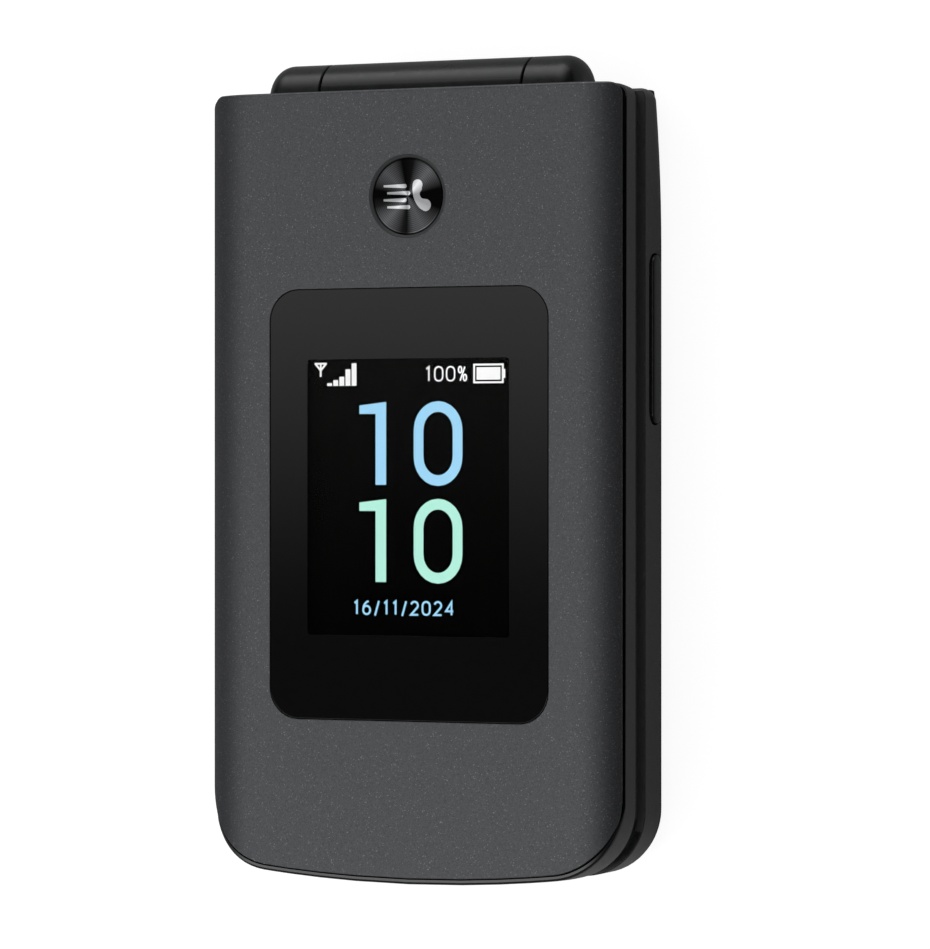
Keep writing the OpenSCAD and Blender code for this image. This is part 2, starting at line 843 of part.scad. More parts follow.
module nav_ring() {
    inner = ok_r + run;
    color([0.3, 0.3, 0.31])
    difference() {
        union() {
            pill(0, nav_y, nav_w, nav_l, nav_r, flange_z0, base_top_z + key_proud);
            pill(0, nav_y, nav_w + 2 * flange_out, nav_l + 2 * flange_out, nav_r, flange_z0,
                flange_z0 + nav_flange_t);
        }
        disc(0, nav_y, inner, flange_z0 - over, lid_z0);
        disc(0, nav_y, ok_r + flange_out + run, flange_z0 - over, flange_z0 + flange_t + nav_flange_t);
    }
}

module ok_key() {
    color([0.35, 0.35, 0.36])
    union() {
        disc(0, nav_y, ok_r, flange_z0, base_top_z + key_proud);
        disc(0, nav_y, ok_r + flange_out, flange_z0, flange_z0 + nav_flange_t);
        disc(0, nav_y, stem_r, stem_z0, flange_z0 + over / 4);
    }
}

module volume_rocker() {
    side = body_w / 2;
    inside = side - wall - rocker_gap;
    color([0.17, 0.17, 0.18])
    union() {
        side_pill(rocker_z, rocker_l, rocker_w, side - rocker_slot_d + rocker_gap, side + rocker_proud);
        side_pill(rocker_z, rocker_stem_l, rocker_stem_w, inside - rocker_flange_t / 2,
            side - rocker_slot_d + rocker_gap + 0.1);
        side_pill(rocker_z, rocker_stem_l + 2, rocker_stem_w + 1, inside - rocker_flange_t, inside);
    }
}

module volume_switch() {
    inside = body_w / 2 - wall - rocker_gap - rocker_flange_t - rocker_swell - fit;
    color("silver")
    for (s = [-1, 1])
        block(inside - volume_switch_t, inside, rocker_y + s * volume_switch_y - volume_switch_l / 2,
            rocker_y + s * volume_switch_y + volume_switch_l / 2, rocker_z - volume_switch_h, board_z0);
}

module speaker() {
    color([0.25, 0.25, 0.26])
    pill(speaker_x, camera_y, speaker_w, speaker_l, 2, wall + rise(camera_y + speaker_l / 2) + fit,
        pocket_roof_z - screen_gap);
}

module camera_module() {
    color([0.1, 0.1, 0.11])
    disc(camera_x, camera_y, camera_r - 0.4, wall + fit, board_z0 - screen_gap);
}

module camera_window() {
    color([0.05, 0.06, 0.07])
    disc(camera_x, camera_y, camera_r, rise(camera_y) + fit, wall);
}

module flash_window() {
    color([0.9, 0.9, 0.8])
    disc(flash_x, camera_y, flash_r, rise(camera_y) + fit, board_z0 - screen_gap);
}

module microphone() {
    color("silver")
    block(mic_x - mic_w / 2, mic_x + mic_w / 2, mic_y1 - mic_t, mic_y1, usb_z - mic_gap, board_z0);
}

module vibration_motor() {
    color("silver")
    disc(motor_x, motor_y, motor_r, wall + motor_gap, pocket_roof_z - screen_gap);
}

module usb_port() {
    color("silver")
    difference() {
        block(-usb_w / 2, usb_w / 2, y_bot + 0.2, y_bot + usb_l, usb_z - usb_h / 2, usb_z + usb_h / 2);
        block(-usb_w / 2 + usb_shell, usb_w / 2 - usb_shell, y_bot - over, y_bot + usb_l - 0.6,
            usb_z - usb_h / 2 + usb_shell, usb_z + usb_h / 2 - usb_shell);
    }
}

module headphone_jack() {
    color([0.1, 0.1, 0.1])
    difference() {
        union() {
            block(-body_w / 2 + wall + 0.6, jack_x1, jack_y - jack_half, jack_y + jack_half,
                jack_z - jack_half, jack_z + jack_half);
            jack_tube(jack_r, jack_x0, wall + 1.5);
        }
        jack_tube(jack_bore_r, jack_x0 - over, over + jack_bore_l);
    }
}

// A round bar along X on the headphone socket's axis, from x0
module jack_tube(r, x0, l) {
    translate([x0, jack_y, jack_z])
        rotate([0, 90, 0])
            cylinder(r = r, h = l);
}

// Room for the headphone socket in the board and the frames
module jack_room() {
    block(-body_w / 2, jack_x1 + run, jack_y - jack_half - fit, jack_y + jack_half + fit, chassis_z0 - over,
        band_z1);
}

// Room for the charging socket
module usb_room() {
    block(-usb_w / 2 - run, usb_w / 2 + run, y_bot, y_bot + usb_l + run, chassis_z0 - over, band_z1);
}

module sim_holder() {
    color("silver")
    sim_block(0, battery_z0 + battery_t + screen_gap, board_z0);
}

module sim_block(gap, z0, z1) {
    block(-sim_w / 2 - gap, sim_w / 2 + gap, sim_y - sim_w / 2 - gap, sim_y + sim_w / 2 + gap, z0, z1);
}

module antenna() {
    color([0.8, 0.65, 0.3])
    block(-antenna_w / 2, antenna_w / 2, antenna_y, antenna_y + antenna_l, chassis_z0 - antenna_t, chassis_z0);
}

module base_screws() {
    color([0.6, 0.6, 0.62])
    for (s = [-1, 1], y = [boss_y0, boss_y1])
        screw(s * boss_x, y, chassis_z0, band_z1 - over - chassis_z0);
}

module hinge_shaft() {
    color([0.7, 0.7, 0.72])
    union() {
        axle(shaft_r, bore_end + over + run, knuckle_x + over);
        axle(shaft_head_r, knuckle_x + fit, hinge_half - bore_end - fit);
    }
}

module hinge_sleeve() {
    color([0.6, 0.6, 0.62])
    difference() {
        axle(sleeve_r, bore_end + fit - hinge_half, sleeve_x1);
        axle(sleeve_bore_r, -hinge_half, 0);
    }
}

module side_key(s, y) {
    color("dimgray")
    key(s * side_key_x, y, side_key_w, side_key_l, key_r);
}

module clear_key() {
    color("dimgray")
    key(0, clear_y, clear_w, clear_l, key_r);
}

lid_cover();
lid_frame();
lid_bezel();
outer_lens();
outer_display();
main_lens();
main_display();
call_button();
call_ring();
call_switch();
lid_board();
earpiece();
earpiece_mesh();
lid_bumpers();
lid_magnet();
lid_screws();
hinge_cartridge();
lid_flex();
keypad_housing();
rear_housing();
battery_cover();
battery();
main_board();
dome_sheet();
number_key(0);  // key_1
number_key(1);  // key_2
number_key(2);  // key_3
number_key(3);  // key_4
number_key(4);  // key_5
number_key(5);  // key_6
number_key(6);  // key_7
number_key(7);  // key_8
number_key(8);  // key_9
number_key(9);  // key_star
number_key(10);  // key_0
number_key(11);  // key_hash
side_key(-1, soft_y);  // left_soft_key
side_key(1, soft_y);  // right_soft_key
side_key(-1, send_y);  // send_key
side_key(1, send_y);  // end_key
clear_key();
nav_ring();
ok_key();
volume_rocker();
volume_switch();
speaker();
camera_module();
camera_window();
flash_window();
microphone();
vibration_motor();
usb_port();
headphone_jack();
sim_holder();
antenna();
base_screws();
hinge_shaft();
hinge_sleeve();
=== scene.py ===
from math import cos, pi, radians, sin, sqrt, tan

import bmesh
import bpy
from mathutils import Matrix, Vector


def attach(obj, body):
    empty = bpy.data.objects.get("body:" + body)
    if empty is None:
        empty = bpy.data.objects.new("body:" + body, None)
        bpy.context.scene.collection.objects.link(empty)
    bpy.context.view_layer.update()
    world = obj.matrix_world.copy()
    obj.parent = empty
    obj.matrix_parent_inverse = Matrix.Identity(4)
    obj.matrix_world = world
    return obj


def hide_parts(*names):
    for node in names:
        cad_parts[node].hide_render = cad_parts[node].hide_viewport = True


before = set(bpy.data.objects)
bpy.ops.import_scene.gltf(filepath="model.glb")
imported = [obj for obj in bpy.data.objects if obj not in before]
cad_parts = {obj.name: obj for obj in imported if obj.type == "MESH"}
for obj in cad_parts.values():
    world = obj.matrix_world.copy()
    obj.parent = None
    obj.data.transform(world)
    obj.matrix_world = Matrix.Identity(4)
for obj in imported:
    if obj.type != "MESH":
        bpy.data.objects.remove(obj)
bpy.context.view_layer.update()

MM = 0.001

# ---- sizes shared with the frame
BODY_W, Y_BOT, Y_TOP = 56.8, -52.4, 48.3
HALF = BODY_W / 2
CORNER_R, COVER_CORNER_R, BASE_CORNER_R, TOP_R, LOW_ARC_R, WALL = 9.2, 10.2, 8.4, 1.6, 185.0, 1.4
BAND_Z0, BAND_Z1, BASE_TOP = 3.9, 9.0, 10.2
LID_Z0, LID_BAND_Z0, LID_BAND_Z1, COVER_Z0, TOTAL = 11.0, 12.2, 15.2, 16.7, 18.9
PARTITION_Z0, PARTITION_Z1 = 13.95, 14.45
RECESS, GROOVE, FRAME_WALL = 1.0, 1.1, 0.9
RUN, FIT, LEDGE = 0.2, 0.1, 1.2

# The lid's rim is a bead on its band. It climbs to the cover round the lower corners.
RIM_INSET, RIM_R, RIM_INNER, RIM_DROP, SLOT_Z = 0.12, 0.36, 0.76, 0.16, 14.4
RIM_FOLLOW, RIM_SIDE, RIM_HIGH, RIM_FLAT = 0.75, 0.15, 0.4, 0.4
CLIMB_START, CLIMB_RUN = -39.5, 6.0

CROWN_W, CROWN_H, COVER_T, COVER_BACK = 6.2, 2.2, 1.5, 0.87
CROWN_R = (CROWN_W ** 2 + CROWN_H ** 2) / (2 * CROWN_H)
BACK_H, BACK_R, RISE_L, RISE_R = 3.8, 4.3, 20.3, 98.0

AXIS_Y, AXIS_Z, HINGE_R, HINGE_HALF, HINGE_LEFT, HINGE_END_R = 47.6, 10.6, 4.8, 21.4, 22.2, 2.8
SWING = HINGE_R + 0.25
HINGE_ROOM = SWING + 1.9 + Y_TOP - AXIS_Y
MID_HALF, KNUCKLE_X, WEB = 14.0, 14.2, HINGE_R * 0.8
CARTRIDGE_BORE, SLEEVE_BORE, SHAFT_BORE, BORE_END, SLEEVE_END = 2.9, 2.45, 2.05, 1.6, -0.4

WINDOW_Y, WINDOW_W, WINDOW_L, WINDOW_R = -4.28, 38.6, 54.7, 4.0
LENS_Z0, LENS_Z1 = 18.0, 18.85
DISPLAY_Y, DISPLAY_W, DISPLAY_L, DISPLAY_R, DISPLAY_Z = -3.37, 28.03, 35.04, 0.4, 17.85
BUTTON_Y, BUTTON_R, BUTTON_DROP, HOLE_R, RING_PITCH = 34.65, 4.85, 0.2, 5.34, 0.24
# How bright the painted highlight cones of the turned button are in each direction about its middle: degrees, level
PAINTED_GLINT_CONES = ((-180, 0), (-164, 0.08), (-150, 0.5), (-134, 1), (-116, 0.5), (-100, 0.08), (-92, 0.03),
         (-78, 0.7), (-62, 0.85), (-40, 0.3), (-20, 0), (12, 0), (28, 0.35), (48, 1), (64, 0.5),
         (80, 0.04), (100, 0), (116, 0.4), (134, 0.7), (150, 0.4), (168, 0))

MAIN_Y, MAIN_W, MAIN_L, MAIN_R = -8.4, 49.6, 66.0, 2.0
MAIN_ACTIVE_W, MAIN_ACTIVE_L = 43.2, 57.6
INNER_SIGN_Z, INNER_SHEET_Z0, INNER_SHEET_Z1 = 11.955, 11.97, 11.985
EARPIECE_Y, EARPIECE_W, EARPIECE_L, EARPIECE_R = -45.8, 14.0, 1.9, 0.8
BUMPER_X, BUMPER_YS, BUMPER_R = 23.8, (-45.0, 37.45), 2.05

KEY_W, KEY_L, KEY_R, PITCH_X, PITCH_Y, KEY_Y0 = 15.4, 10.6, 2.0, 17.0, 13.0, -36.0
NAV_Y, NAV_W, NAV_L, NAV_R, OK_R = 27.0, 23.0, 19.0, 19.0 / 2.4, 4.2
SIDE_X, SIDE_W, SIDE_L, SOFT_Y, SEND_Y = 19.0, 11.6, 8.0, 32.0, 21.6
CLEAR_Y, CLEAR_W, CLEAR_L = 13.6, 11.0, 5.2
KEY_TOP, FLANGE, FLANGE_Z0, FLANGE_Z1 = BASE_TOP + 0.2, 0.5, 8.35, 8.85
RING_FLANGE_Z1 = FLANGE_Z0 + 0.3
STEM_FOOT, STEM_R = [(1.4, 8.0), (1.5, 8.1)], 1.5

ROCKER_Y, ROCKER_SLOT_Z, ROCKER_SLOT_L, ROCKER_SLOT_W, ROCKER_SLOT_D = 16.6, 5.6, 21.7, 3.9, 0.7
ROCKER_Z, ROCKER_L, ROCKER_W, ROCKER_OUT = 5.35, 21.3, 2.6, 0.3
CAMERA_Y, CAMERA_R, FLASH_X, FLASH_R = 35.05, 4.0, 8.4, 1.6
SPEAKER_X, SPEAKER_PITCH, SPEAKER_W, SPEAKER_L = -13.5, 2, 0.9, 5
JACK_Y, JACK_Z, JACK_R = 14.4, 6.4, 2.1
USB_Z, USB_W, USB_H, USB_R, MIC_X, MIC_R = 5.6, 7.4, 2.6, 0.6, 13.0, 0.5

# How far cutting tools reach: past a face, over the lid, below the window's ledge and under its pane
PAST, OVER_LID, IN_LID, UNDER_PANE = 1, 21, 14, 18.5

# ---- the photograph's camera
PHOTO_W, PHOTO_H = 930, 949
YAW = radians(24.05)
FOCAL_PX, DISTANCE, AIM = 4507.6, 565.74, (8.009, -0.5, 18.9)
SENSOR_MM = 36


def make_camera():
    data = bpy.data.cameras.new("camera")
    data.sensor_width = SENSOR_MM
    data.lens = FOCAL_PX * data.sensor_width / max(PHOTO_W, PHOTO_H)
    data.clip_start = 0.01
    cam = bpy.data.objects.new("camera", data)
    bpy.context.scene.collection.objects.link(cam)
    back = Vector((sin(YAW), 0, cos(YAW)))
    right = Vector((cos(YAW), 0, -sin(YAW)))
    up = Vector((0, 1, 0))
    turn = Matrix((right, up, back)).transposed().to_4x4()
    cam.matrix_world = Matrix.Translation((Vector(AIM) + DISTANCE * back) * MM) @ turn
    bpy.context.scene.camera = cam


# ---- materials
def srgb(r, g, b):
    """A screen colour, 0 to 255, as a linear one."""
    line = lambda c: c / 12.92 if c <= 0.04045 else ((c + 0.055) / 1.055) ** 2.4
    return [line(c / 255) for c in (r, g, b)] + [1.0]


MIX_A, MIX_B, MIX_RESULT = 6, 7, 2  # the mix node's colour sockets
NOISE_LOW, NOISE_HIGH = 0.3, 0.7    # where most of a noise texture's values lie


class Graph:
    """Shader nodes, made and joined in few words."""

    def __init__(self, tree):
        self.nodes, self.links = tree.nodes, tree.links

    def feed(self, socket, value):
        """Joins a socket to another one, or sets its value."""
        if isinstance(value, bpy.types.NodeSocket):
            self.links.new(value, socket)
        else:
            socket.default_value = value

    def node(self, kind, **sockets):
        """A new node with its sockets fed. An underscore stands for a space."""
        node = self.nodes.new(kind)
        for name, value in sockets.items():
            self.feed(node.inputs[name.replace("_", " ")], value)
        return node

    def math(self, operation, *values):
        node = self.nodes.new("ShaderNodeMath")
        node.operation = operation
        for socket, value in zip(node.inputs, values):
            self.feed(socket, value)
        return node.outputs[0]

    def span(self, value, low, high, to_low=0.0, to_high=1.0, blend="LINEAR"):
        """The stretch from low to high, laid over the one from to_low to to_high."""
        node = self.node("ShaderNodeMapRange", Value=value, From_Min=low, From_Max=high,
                         To_Min=to_low, To_Max=to_high)
        node.interpolation_type = blend
        return node.outputs["Result"]

    def split(self, vector, kind="ShaderNodeSeparateXYZ"):
        node = self.nodes.new(kind)
        self.links.new(vector, node.inputs[0])
        return node.outputs


class Shade(Graph):
    """A Principled material whose colour, gloss and relief vary by noise in the object's own space."""

    def __init__(self, name, rough, **fixed):
        self.mat = bpy.data.materials.new(name)
        self.mat.use_nodes = True
        super().__init__(self.mat.node_tree)
        self.bsdf = self.nodes["Principled BSDF"]
        for socket, value in dict(fixed, Roughness=rough).items():
            self.bsdf.inputs[socket.replace("_", " ")].default_value = value
        self.place = self.nodes.new("ShaderNodeTexCoord").outputs["Object"]

    def noise(self, scale, detail=3.0, stretch=None):
        place = self.place
        if stretch:
            place = self.node("ShaderNodeMapping", Scale=stretch, Vector=place).outputs["Vector"]
        return self.node("ShaderNodeTexNoise", Scale=scale, Detail=detail, Vector=place).outputs["Fac"]

    def mix(self, fac, a, b):
        node = self.nodes.new("ShaderNodeMix")
        node.data_type = "RGBA"
        self.feed(node.inputs["Factor"], fac)
        self.feed(node.inputs[MIX_A], a)
        self.feed(node.inputs[MIX_B], b)
        return node.outputs[MIX_RESULT]

    def mottled(self, noise, dark, light):
        """Two near colours, mixed by a noise texture."""
        return self.mix(self.span(noise, NOISE_LOW, NOISE_HIGH), dark, light)

    def colour(self, value, socket="Base Color"):
        self.links.new(value, self.bsdf.inputs[socket])

    def gloss(self, noise, low, high):
        self.links.new(self.span(noise, NOISE_LOW, NOISE_HIGH, low, high), self.bsdf.inputs["Roughness"])

    def relief(self, value, strength, depth_mm):
        bump = self.node("ShaderNodeBump", Strength=strength, Distance=depth_mm * MM, Height=value)
        self.links.new(bump.outputs["Normal"], self.bsdf.inputs["Normal"])


def finish(name, dark, light, rough, scale=900, grain=3000, relief=0.15, depth=0.02, stretch=None, **fixed):
    """A moulded, sprayed or cast surface: two near colours, a gloss that varies and a fine grain."""
    s = Shade(name, rough, **fixed)
    broad = s.noise(scale, 4.0, stretch)
    s.colour(s.mottled(broad, srgb(*dark), srgb(*light)))
    s.gloss(broad, rough * 0.88, rough * 1.12)
    s.relief(s.noise(grain, 2.0, stretch), relief, depth)
    return s.mat


def flake_paint():
    """Dark grey paint with fine bright metal flakes."""
    flake_cells, flakes_from = 9800, 0.965
    s = Shade("metallic_paint", 0.42, Metallic=0.75)
    cells = s.node("ShaderNodeTexVoronoi", Scale=flake_cells, Vector=s.place)
    chance = s.split(cells.outputs["Color"], "ShaderNodeSeparateColor")
    base = s.mix(chance[1], srgb(64, 65, 67), srgb(80, 81, 83))
    s.colour(s.mix(s.span(chance[0], flakes_from, 1.0), base, srgb(118, 120, 124)))
    s.gloss(s.noise(3000), 0.39, 0.45)
    s.relief(s.noise(4500, 2.0), 0.08, 0.01)
    return s.mat


def glow(name, dark, light):
    """Lit picture elements, with the faint unevenness of a backlight."""
    s = Shade(name, 0.5, Base_Color=(0.01, 0.01, 0.01, 1), Emission_Strength=1.0)
    s.colour(s.mottled(s.noise(160, 2.0), srgb(*dark), srgb(*light)), "Emission Color")
    return s.mat


def spun_metal_painted_glints(name, dark, light, groove, stretch):
    """Metal turned on a lathe about the call button's middle. Its glints are painted highlight cones in the base
    colour, streaked with fine painted rings at the pitch of its grooves.
    """
    s = Shade(name, 0.3, Metallic=1.0, Anisotropic=stretch)
    place = s.split(s.place)
    off_x, off_y = place["X"], s.math("SUBTRACT", place["Y"], BUTTON_Y * MM)
    painted_cones = s.nodes.new("ShaderNodeValToRGB")
    s.links.new(s.span(s.math("ARCTAN2", off_y, off_x), -pi, pi), painted_cones.inputs[0])
    stops = painted_cones.color_ramp.elements
    while len(stops) > 1:
        stops.remove(stops[-1])
    for i, (degrees, level) in enumerate(PAINTED_GLINT_CONES):
        at = degrees / 360 + 0.5
        stop = stops[0] if i == 0 else stops.new(at)
        stop.position = at
        stop.color = (level, level, level, 1)
    squares = s.math("ADD", s.math("POWER", off_x, 2.0), s.math("POWER", off_y, 2.0))
    wave = s.math("SINE", s.math("MULTIPLY", s.math("POWER", squares, 0.5), 2 * pi / (RING_PITCH * MM)))
    rings = s.span(wave, -1.0, 1.0, groove, 1.1)
    # Painted highlight: the cones, streaked by the rings, set the base colour between dark and light
    s.colour(s.mix(s.math("MULTIPLY", painted_cones.outputs[0], rings), srgb(*dark), srgb(*light)))
    tangent = s.nodes.new("ShaderNodeTangent")
    tangent.direction_type = "RADIAL"
    tangent.axis = "Z"
    s.links.new(tangent.outputs["Tangent"], s.bsdf.inputs["Tangent"])
    return s.mat


def clear_glass(name, ior):
    s = Shade(name, 0.0, IOR=ior, Transmission_Weight=1.0)
    s.colour(s.mottled(s.noise(40, 1.0), (0.95, 0.95, 0.95, 1), (1, 1, 1, 1)))
    return s.mat


# Darker and lighter screen colour, roughness, and what isn't as for a plain moulding
FINISHES = {
    "black_frame": ((19, 20, 21), (24, 25, 26), 0.3, dict(relief=0.08, Specular_IOR_Level=0.35)),
    "black_matte": ((26, 26, 27), (33, 33, 34), 0.6, dict(relief=0.3)),
    "rim_gloss": ((22, 23, 24), (27, 28, 29), 0.16, dict(relief=0.05)),
    # Painted light: a lighter copy of the black frame plastic, for the base's ledge in the lid's shade
    "recess": ((40, 40, 41), (46, 46, 47), 0.6, dict(relief=0.2)),
    "back": ((34, 34, 36), (44, 44, 46), 0.62, dict(grain=2200, relief=0.5, depth=0.05)),
    "mask": ((8, 8, 9), (10, 10, 11), 0.04, dict(relief=0.0, IOR=1.394)),
    "display": ((1, 1, 1), (3, 3, 3), 0.5, dict(scale=3000, Specular_IOR_Level=0.0)),
    "ring_metal": ((50, 51, 52), (55, 56, 57), 0.6, dict(Specular_IOR_Level=0.3)),
    "steel": ((165, 166, 168), (190, 191, 193), 0.32, dict(stretch=(1, 12, 1), Metallic=1.0)),
    "board": ((14, 70, 46), (22, 92, 62), 0.45, dict(scale=1500)),
    "key_plastic": ((38, 38, 40), (46, 46, 48), 0.42, {}),
    "nav_metal": ((118, 119, 122), (136, 137, 140), 0.34, dict(Metallic=0.85)),
    "rubber": ((22, 22, 22), (30, 30, 30), 0.8, dict(relief=0.5)),
    "battery_wrap": ((52, 54, 60), (62, 64, 70), 0.5, {}),
    "film": ((196, 196, 190), (214, 214, 208), 0.3, {}),
    "flex": ((160, 96, 38), (186, 116, 50), 0.4, dict(stretch=(8, 1, 1))),
    "brass": ((196, 160, 92), (214, 180, 110), 0.3, dict(Metallic=1.0)),
    "ink": ((214, 216, 218), (232, 234, 236), 0.5, {}),
    "green_ink": ((60, 168, 84), (76, 186, 98), 0.5, {}),
    "red_ink": ((196, 52, 48), (214, 66, 58), 0.5, {}),
}
LIT = {
    "white_lit": ((240, 240, 240), (250, 250, 250)),
    "blue_lit": ((149, 209, 243), (154, 213, 245)),
    "mint_lit": ((173, 236, 217), (177, 240, 220)),
    "dusk_lit": ((24, 52, 92), (38, 78, 124)),
}
M = {name: finish(name, dark, light, rough, **more) for name, (dark, light, rough, more) in FINISHES.items()}
M.update({name: glow(name, dark, light) for name, (dark, light) in LIT.items()})
M["metallic_paint"] = flake_paint()
# The button and the inlay both get painted highlight cones; the inlay's rings are faint
M["button_metal"] = spun_metal_painted_glints("button_metal", (6, 6, 6), (98, 99, 101), 0.55, 0.6)
M["inlay"] = spun_metal_painted_glints("inlay", (150, 151, 153), (232, 233, 235), 1.0, 0.0)
M["clear_window"] = clear_glass("clear_window", 1.12)
M["lens_glass"] = clear_glass("lens_glass", 1.45)


# ---- meshes
WELD_M = 1e-7       # points closer than this are one, in metres
SHARP = 32.0        # edges that turn by more degrees than this stay crisp
NEARLY_0 = 0.0005   # the least radius on a lathe, in millimetres


def mesh_object(name, verts, faces):
    """A mesh from points in millimetres, closed seams welded, faces turned outwards, shaded smooth."""
    bm = bmesh.new()
    made = [bm.verts.new([c * MM for c in v]) for v in verts]
    for f in faces:
        try:
            bm.faces.new([made[i] for i in f])
        except ValueError:  # the face is there already
            pass
    bmesh.ops.remove_doubles(bm, verts=bm.verts, dist=WELD_M)
    bmesh.ops.dissolve_degenerate(bm, edges=bm.edges, dist=WELD_M)
    bmesh.ops.recalc_face_normals(bm, faces=bm.faces)
    mesh = bpy.data.meshes.new(name)
    bm.to_mesh(mesh)
    bm.free()
    obj = bpy.data.objects.new(name, mesh)
    bpy.context.scene.collection.objects.link(obj)
    soften(obj)
    return obj


def soften(obj):
    """Smooth shading, but for the sharp edges."""
    obj.data.shade_smooth()
    obj.data.set_sharp_from_angle(angle=radians(SHARP))


def drawing(name, parts):
    """One object from (vertices, faces) pairs."""
    verts, faces = [], []
    for v, f in parts:
        base = len(verts)
        verts += v
        faces += [[base + i for i in q] for q in f]
    return mesh_object(name, verts, faces)


def joined(name, objects):
    """One object from several that don't touch."""
    parts = [([v.co / MM for v in o.data.vertices], [list(p.vertices) for p in o.data.polygons]) for o in objects]
    for o in objects:
        bpy.data.objects.remove(o)
    return drawing(name, parts)


def carve(obj, cutters, adds=(), later=()):
    """Cuts, then joins, then cuts again. The tools are used up."""
    for tools, operation in ((cutters, "DIFFERENCE"), (adds, "UNION"), (later, "DIFFERENCE")):
        for tool in tools:
            mod = obj.modifiers.new("cut", "BOOLEAN")
            mod.solver = "EXACT"
            mod.operation = operation
            mod.object = tool
    bpy.context.view_layer.update()
    shaped = bpy.data.meshes.new_from_object(obj.evaluated_get(bpy.context.evaluated_depsgraph_get()))
    obj.modifiers.clear()
    obj.data = shaped
    for tool in list(cutters) + list(adds) + list(later):
        bpy.data.objects.remove(tool)
    soften(obj)


def piece(obj, body, slot, material, *nodes):
    """Gives a piece its material and its body, and hides the CAD nodes that it stands for. Its slot is not used."""
    obj.data.materials.clear()
    obj.data.materials.append(M[material])
    even_out = obj.modifiers.new("normals", "WEIGHTED_NORMAL")
    even_out.keep_sharp = True
    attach(obj, body)
    if nodes:
        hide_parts(*nodes)


def repaint(obj, material, chosen):
    """Another finish on the faces picked by their middle, in millimetres, and their normal."""
    obj.data.materials.append(M[material])
    for face in obj.data.polygons:
        if chosen(face.center / MM, face.normal):
            face.material_index = 1


def bow(x, y, rx, ry, a, b, n):
    """Part of an ellipse, from a to b degrees."""
    return [(x + rx * cos(radians(a + (b - a) * i / n)), y + ry * sin(radians(a + (b - a) * i / n)))
            for i in range(n + 1)]


def arc(x, y, r, a, b, n):
    return bow(x, y, r, r, a, b, n)


def round_box(w, l, r, n):
    """A rectangle's outline with round corners, about its middle."""
    r = max(min(r, w / 2 - 0.001, l / 2 - 0.001), 0.01)
    return (arc(w / 2 - r, r - l / 2, r, -90, 0, n) + arc(w / 2 - r, l / 2 - r, r, 0, 90, n)
            + arc(r - w / 2, l / 2 - r, r, 90, 180, n) + arc(r - w / 2, r - l / 2, r, 180, 270, n))


def circle(x, y, r, steps):
    return arc(x, y, r, 0, 360 * (steps - 1) / steps, steps - 1)


# Where a shape's own plane and height lie: flat, across the phone or along it
FLAT = lambda a, b, h: (a, b, h)
SIDE = lambda a, b, h: (h, a, b)
END = lambda a, b, h: (a, h, b)


def tower(name, rings, axes=FLAT):
    """A closed solid from rings of (a, b) points at heights h: [(points, h), ...]."""
    n = len(rings[0][0])
    verts = [axes(a, b, h) for points, h in rings for a, b in points]
    faces = [list(range(n)), [(len(rings) - 1) * n + i for i in range(n)]]
    for k in range(len(rings) - 1):
        for i in range(n):
            j = (i + 1) % n
            faces.append([k * n + i, k * n + j, (k + 1) * n + j, (k + 1) * n + i])
    return mesh_object(name, verts, faces)


def pill(name, x, y, w, l, r, levels, axes=FLAT, n=8):
    """A box with round corners at (x, y). levels are (inset, height)."""
    rings = [([(x + a, y + b) for a, b in round_box(w - 2 * i, l - 2 * i, r - i, n)], h) for i, h in levels]
    return tower(name, rings, axes)


def lathe(name, x, y, profile, steps=96, axes=FLAT):
    """Turns (radius, height) points about the line through (x, y)."""
    return tower(name, [(circle(x, y, max(r, NEARLY_0), steps), h) for r, h in profile], axes)


def ring_solid(name, x, y, profile, steps=96):
    """Turns a closed loop of (radius, height) points into a ring."""
    n, m = steps, len(profile)
    verts = [(a, b, h) for r, h in profile for a, b in circle(x, y, r, steps)]
    faces = [[k * n + i, k * n + (i + 1) % n, (k + 1) % m * n + (i + 1) % n, (k + 1) % m * n + i]
             for k in range(m) for i in range(n)]
    return mesh_object(name, verts, faces)


def edge(r, z, down=False, n=4):
    """Levels of a rounded edge of radius r that ends at height z."""
    s = -1 if down else 1
    steps = [(r * (1 - cos(pi / 2 * i / n)), z - s * r * (1 - sin(pi / 2 * i / n))) for i in range(n + 1)]
    return steps[::-1] if down else steps


# Rows of the base's lofts, closer where its underside rises
BACK_ROWS = (-40, -10, 20, 28, 31, 34, 37, 40, 43, 45.5)
# Distances of the outline's columns from its sides
COLUMNS = (0, .02, .07, .15, .27, .42, .62, .85, 1.15, 1.5, 1.9, 2.3, 2.9, 3.6, 4.4, 5.3, 6.2, 7.1, 8, 9.5,
           12, 16, 21)
LEAST_R = 0.4


def plan(side, low, high, rows=(), corner=CORNER_R):
    """The body's outline as a grid: rows from its lower end to its upper end, columns across."""
    half = HALF - side
    rc = corner - (side + low) / 2
    rt = max(TOP_R - min(side, high), LEAST_R)
    big_y = Y_BOT + low + LOW_ARC_R
    cx = half - rc
    cy = big_y - sqrt((LOW_ARC_R - rc) ** 2 - cx * cx)
    touch = cx * LOW_ARC_R / (LOW_ARC_R - rc)
    top = Y_TOP - high
    xs = [d - half for d in COLUMNS] + [0] + [half - d for d in reversed(COLUMNS)]

    def y_low(x):
        x = abs(x)
        if x <= touch:
            return big_y - sqrt(LOW_ARC_R ** 2 - x * x)
        return cy - sqrt(max(rc * rc - (x - cx) ** 2, 0))

    def y_high(x):
        past = abs(x) - (half - rt)
        return top if past <= 0 else top - rt + sqrt(max(rt * rt - past * past, 0))

    return [[(x, y_low(x)) for x in xs]] + [[(x, y) for x in xs] for y in rows] + [[(x, y_high(x)) for x in xs]]


def rise(y):
    """How far the underside has come up at y, near the hinge."""
    past = max(y - (Y_TOP - RISE_L), 0)
    return RISE_R - sqrt(RISE_R ** 2 - past * past)


